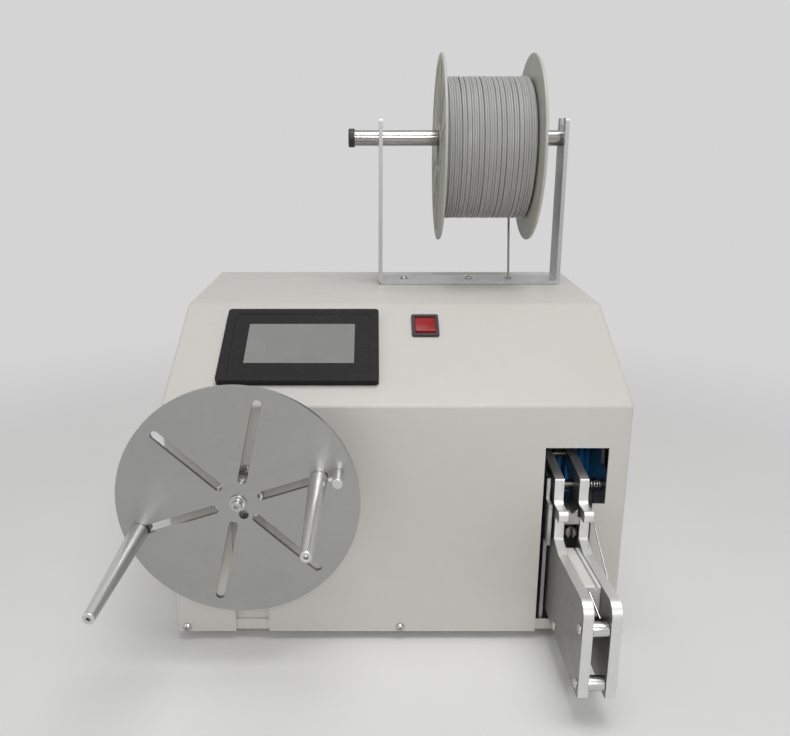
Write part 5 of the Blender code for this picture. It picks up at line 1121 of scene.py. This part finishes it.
gear_module, gear_teeth, gear_y = 0.0014, 20, 0.052
half_tooth = Matrix.Rotation(math.pi / gear_teeth - math.pi / 2, 4, "Z")
gear_shape = moved(plate([gear(gear_teeth)], 0.005), at(0, 0, twist_high.y - gear_y) @ half_tooth)
slot = block((-0.0015, -0.02, length - 0.006), (0.0015, 0.02, length + 0.01))
shape = carve(carve(lathe(profile, 64), [gear_shape], "UNION"), [slot])
twist_place = at(arm_middle, twist_high.y, twist_z, facing_front)
piece("twisting_head", shape, tool_steel, twist_place, "twist_shaft")

# %% [markdown]
# ## Sprung jaws
# Two levers stand on a pin above the neck. Their noses hold the coil down while the wire goes round, and a
# bar joins their tails, on which a cam presses to open them. They are cut from the same plate as the arm.

# %% Jaws, their bar and pin
pivot, cross_bar = Vector((0.022, 0.137)), Vector((0.058, 0.152))
jaw_outline = rounded([
    (-0.002, 0.152, 0.0016), (-0.002, 0.129, 0.004), (-0.024, 0.1315, 0.004), (-0.024, 0.1206, 0.004),
    (0.029, 0.1206, 0.003), (0.045, 0.139, 0.003), (0.0635, 0.146, 0.003), (0.0635, 0.1563, 0.003),
    (0.045, 0.1563, 0.004),
], 8)
bores = [ring(0.0043, pivot, 40), ring(0.0033, cross_bar, 32)]
plate_pair("sprung_jaw", [jaw_outline] + bores, "upper_jaw", 0.0008)

end = length_of("jaw_bar")
profile = [(0, end), (0.003, end, 0.0006), (0.003, 0, 0.0006), (0, 0)]
turned("jaw_cross_bar", profile, tool_steel, *cross_bar, "jaw_bar", 48)

end = length_of("jaw_pivot_pin")
profile = [
    (0, end), (0.0060, end, 0.0006), (0.0065, end - 0.0026, 0.0003), (0.0065, end - 0.0030),
    (0.0040, end - 0.0030), (0.0040, 0.0030), (0.0065, 0.0030, 0.0003), (0.0060, 0, 0.0006), (0, 0),
]
turned("pivot_bolt", profile, tool_steel, *pivot, "jaw_pivot_pin", 64)

# %% [markdown]
# ## Jaw spring
# A torsion spring sits on the pin beside the right plate. Its long leg reaches forward and down over the
# plate, where the photograph shows it as a thin bright line. The coil is a helix of round wire, with 32
# points a turn, and the leg leaves it along a tangent.

# %% Spring
spring_radius, spring_pitch, spring_wire = 0.00536, 0.0024, 0.0008
curls, curl_points = 5, 32
leg_end = Vector((-0.072, 0.088))
leg = leg_end - pivot
first = math.atan2(leg.y, leg.x) + math.acos(spring_radius / leg.length)
spring_x = right_high.x + 0.0037
coil = [Vector((spring_x, *leg_end))]
for step in range(curls * curl_points + 1):
    angle = first + 2 * math.pi * step / curl_points
    around = pivot + spring_radius * Vector((math.cos(angle), math.sin(angle)))
    coil.append(Vector((spring_x + spring_pitch * step / curl_points, *around)))
away = first + math.pi / 2
coil.append(coil[-1] + Vector((0, math.cos(away), math.sin(away))) * 0.010)
piece("torsion_spring", wire(coil, spring_wire, 4), spring_steel, up, "jaw_spring")
print("spring leg in mm:", round((coil[1] - coil[0]).length * 1000))

# %% [markdown]
# ## Pieces that keep their imported shape
# The rest sits inside the casing or under it, and the imported solids already have the right shape. They
# only need their finishes. Motors are dark, the tying frame is plain sheet, and the tray and the bracket
# behind the disc have the hood's powder coat, because the photograph shows the bracket pale through the
# slots.

# %% Finishes of the imported pieces
kept = {
    powder_coat: ["base_tray", "winding_bracket"],
    foot_rubber: ["foot_front_left", "foot_front_right", "foot_rear_left", "foot_rear_right"],
    socket_black: ["power_inlet"],
    turned_aluminium: ["bearing_housing", "shaft_coupling"],
    plated_steel: ["spindle", "feed_roller", "pinch_roller"],
    milled_aluminium: ["bearing_plate"],
    zinc_sheet: ["tying_frame"],
    tool_steel: ["jaw_cam", "twist_pinion"],
    motor_steel: ["winding_motor", "jaw_motor", "twist_motor", "feed_motor"],
    driver_blue: ["motor_driver"],
    supply_steel: ["power_supply"],
    board_green: ["control_board"],
}
for finish, names in kept.items():
    for node in names:
        if not nodes[node].material_slots:
            nodes[node].data.materials.append(finish.material)
        for slot in nodes[node].material_slots:
            slot.material = finish.material
print(sum(len(names) for names in kept.values()), "packed pieces keep their shape")

# %% [markdown]
# ## Floor
# The machine stands on a pale floor. Near the machine the camera sees the floor's own grey with the shadow
# on it. Further out the floor fades into the tone of the room, so no edge and no horizon show in the
# picture.

# %% Floor
floor = loose(block((-6, -4, -0.02), (6, 9, 0)), "floor")
fade_start, fade_end = 0.4, 1.2
paint = Finish("floor", (0.84, 0.84, 0.835), Roughness=0.7)
paint.shade(((0.80, 0.80, 0.795), paint.effect(handling, Scale=1.5)["Smudge"], 0.5))
from_middle = paint.add("ShaderNodeVectorMath", operation="LENGTH")
paint.link(paint.place(), from_middle, 0)
away = from_middle.outputs["Value"]
fade = paint.spread(away, 0, 1, fade_start, fade_end, interpolation_type="SMOOTHSTEP")
seen = paint.add("ShaderNodeLightPath").outputs["Is Camera Ray"]
glow = paint.add("ShaderNodeEmission")
paint.link(backdrop, glow, "Strength")
blend = paint.add("ShaderNodeMixShader")
paint.link(paint.math("MULTIPLY", fade, seen), blend, 0)
paint.link(paint.shader.outputs[0], blend, 1)
paint.link(glow.outputs[0], blend, 2)
paint.link(blend.outputs[0], paint.tree.nodes["Material Output"], "Surface")
floor.data.materials.append(paint.material)
floor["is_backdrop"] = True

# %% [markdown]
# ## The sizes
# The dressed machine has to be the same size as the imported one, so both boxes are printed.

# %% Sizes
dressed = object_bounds()
boxes = {"cad": [list(corner) for corner in cad_box], "visual": [list(corner) for corner in dressed]}
for name, (low, high) in boxes.items():
    print(name, "box in mm:", [round((b - a) * 1000, 1) for a, b in zip(low, high)])
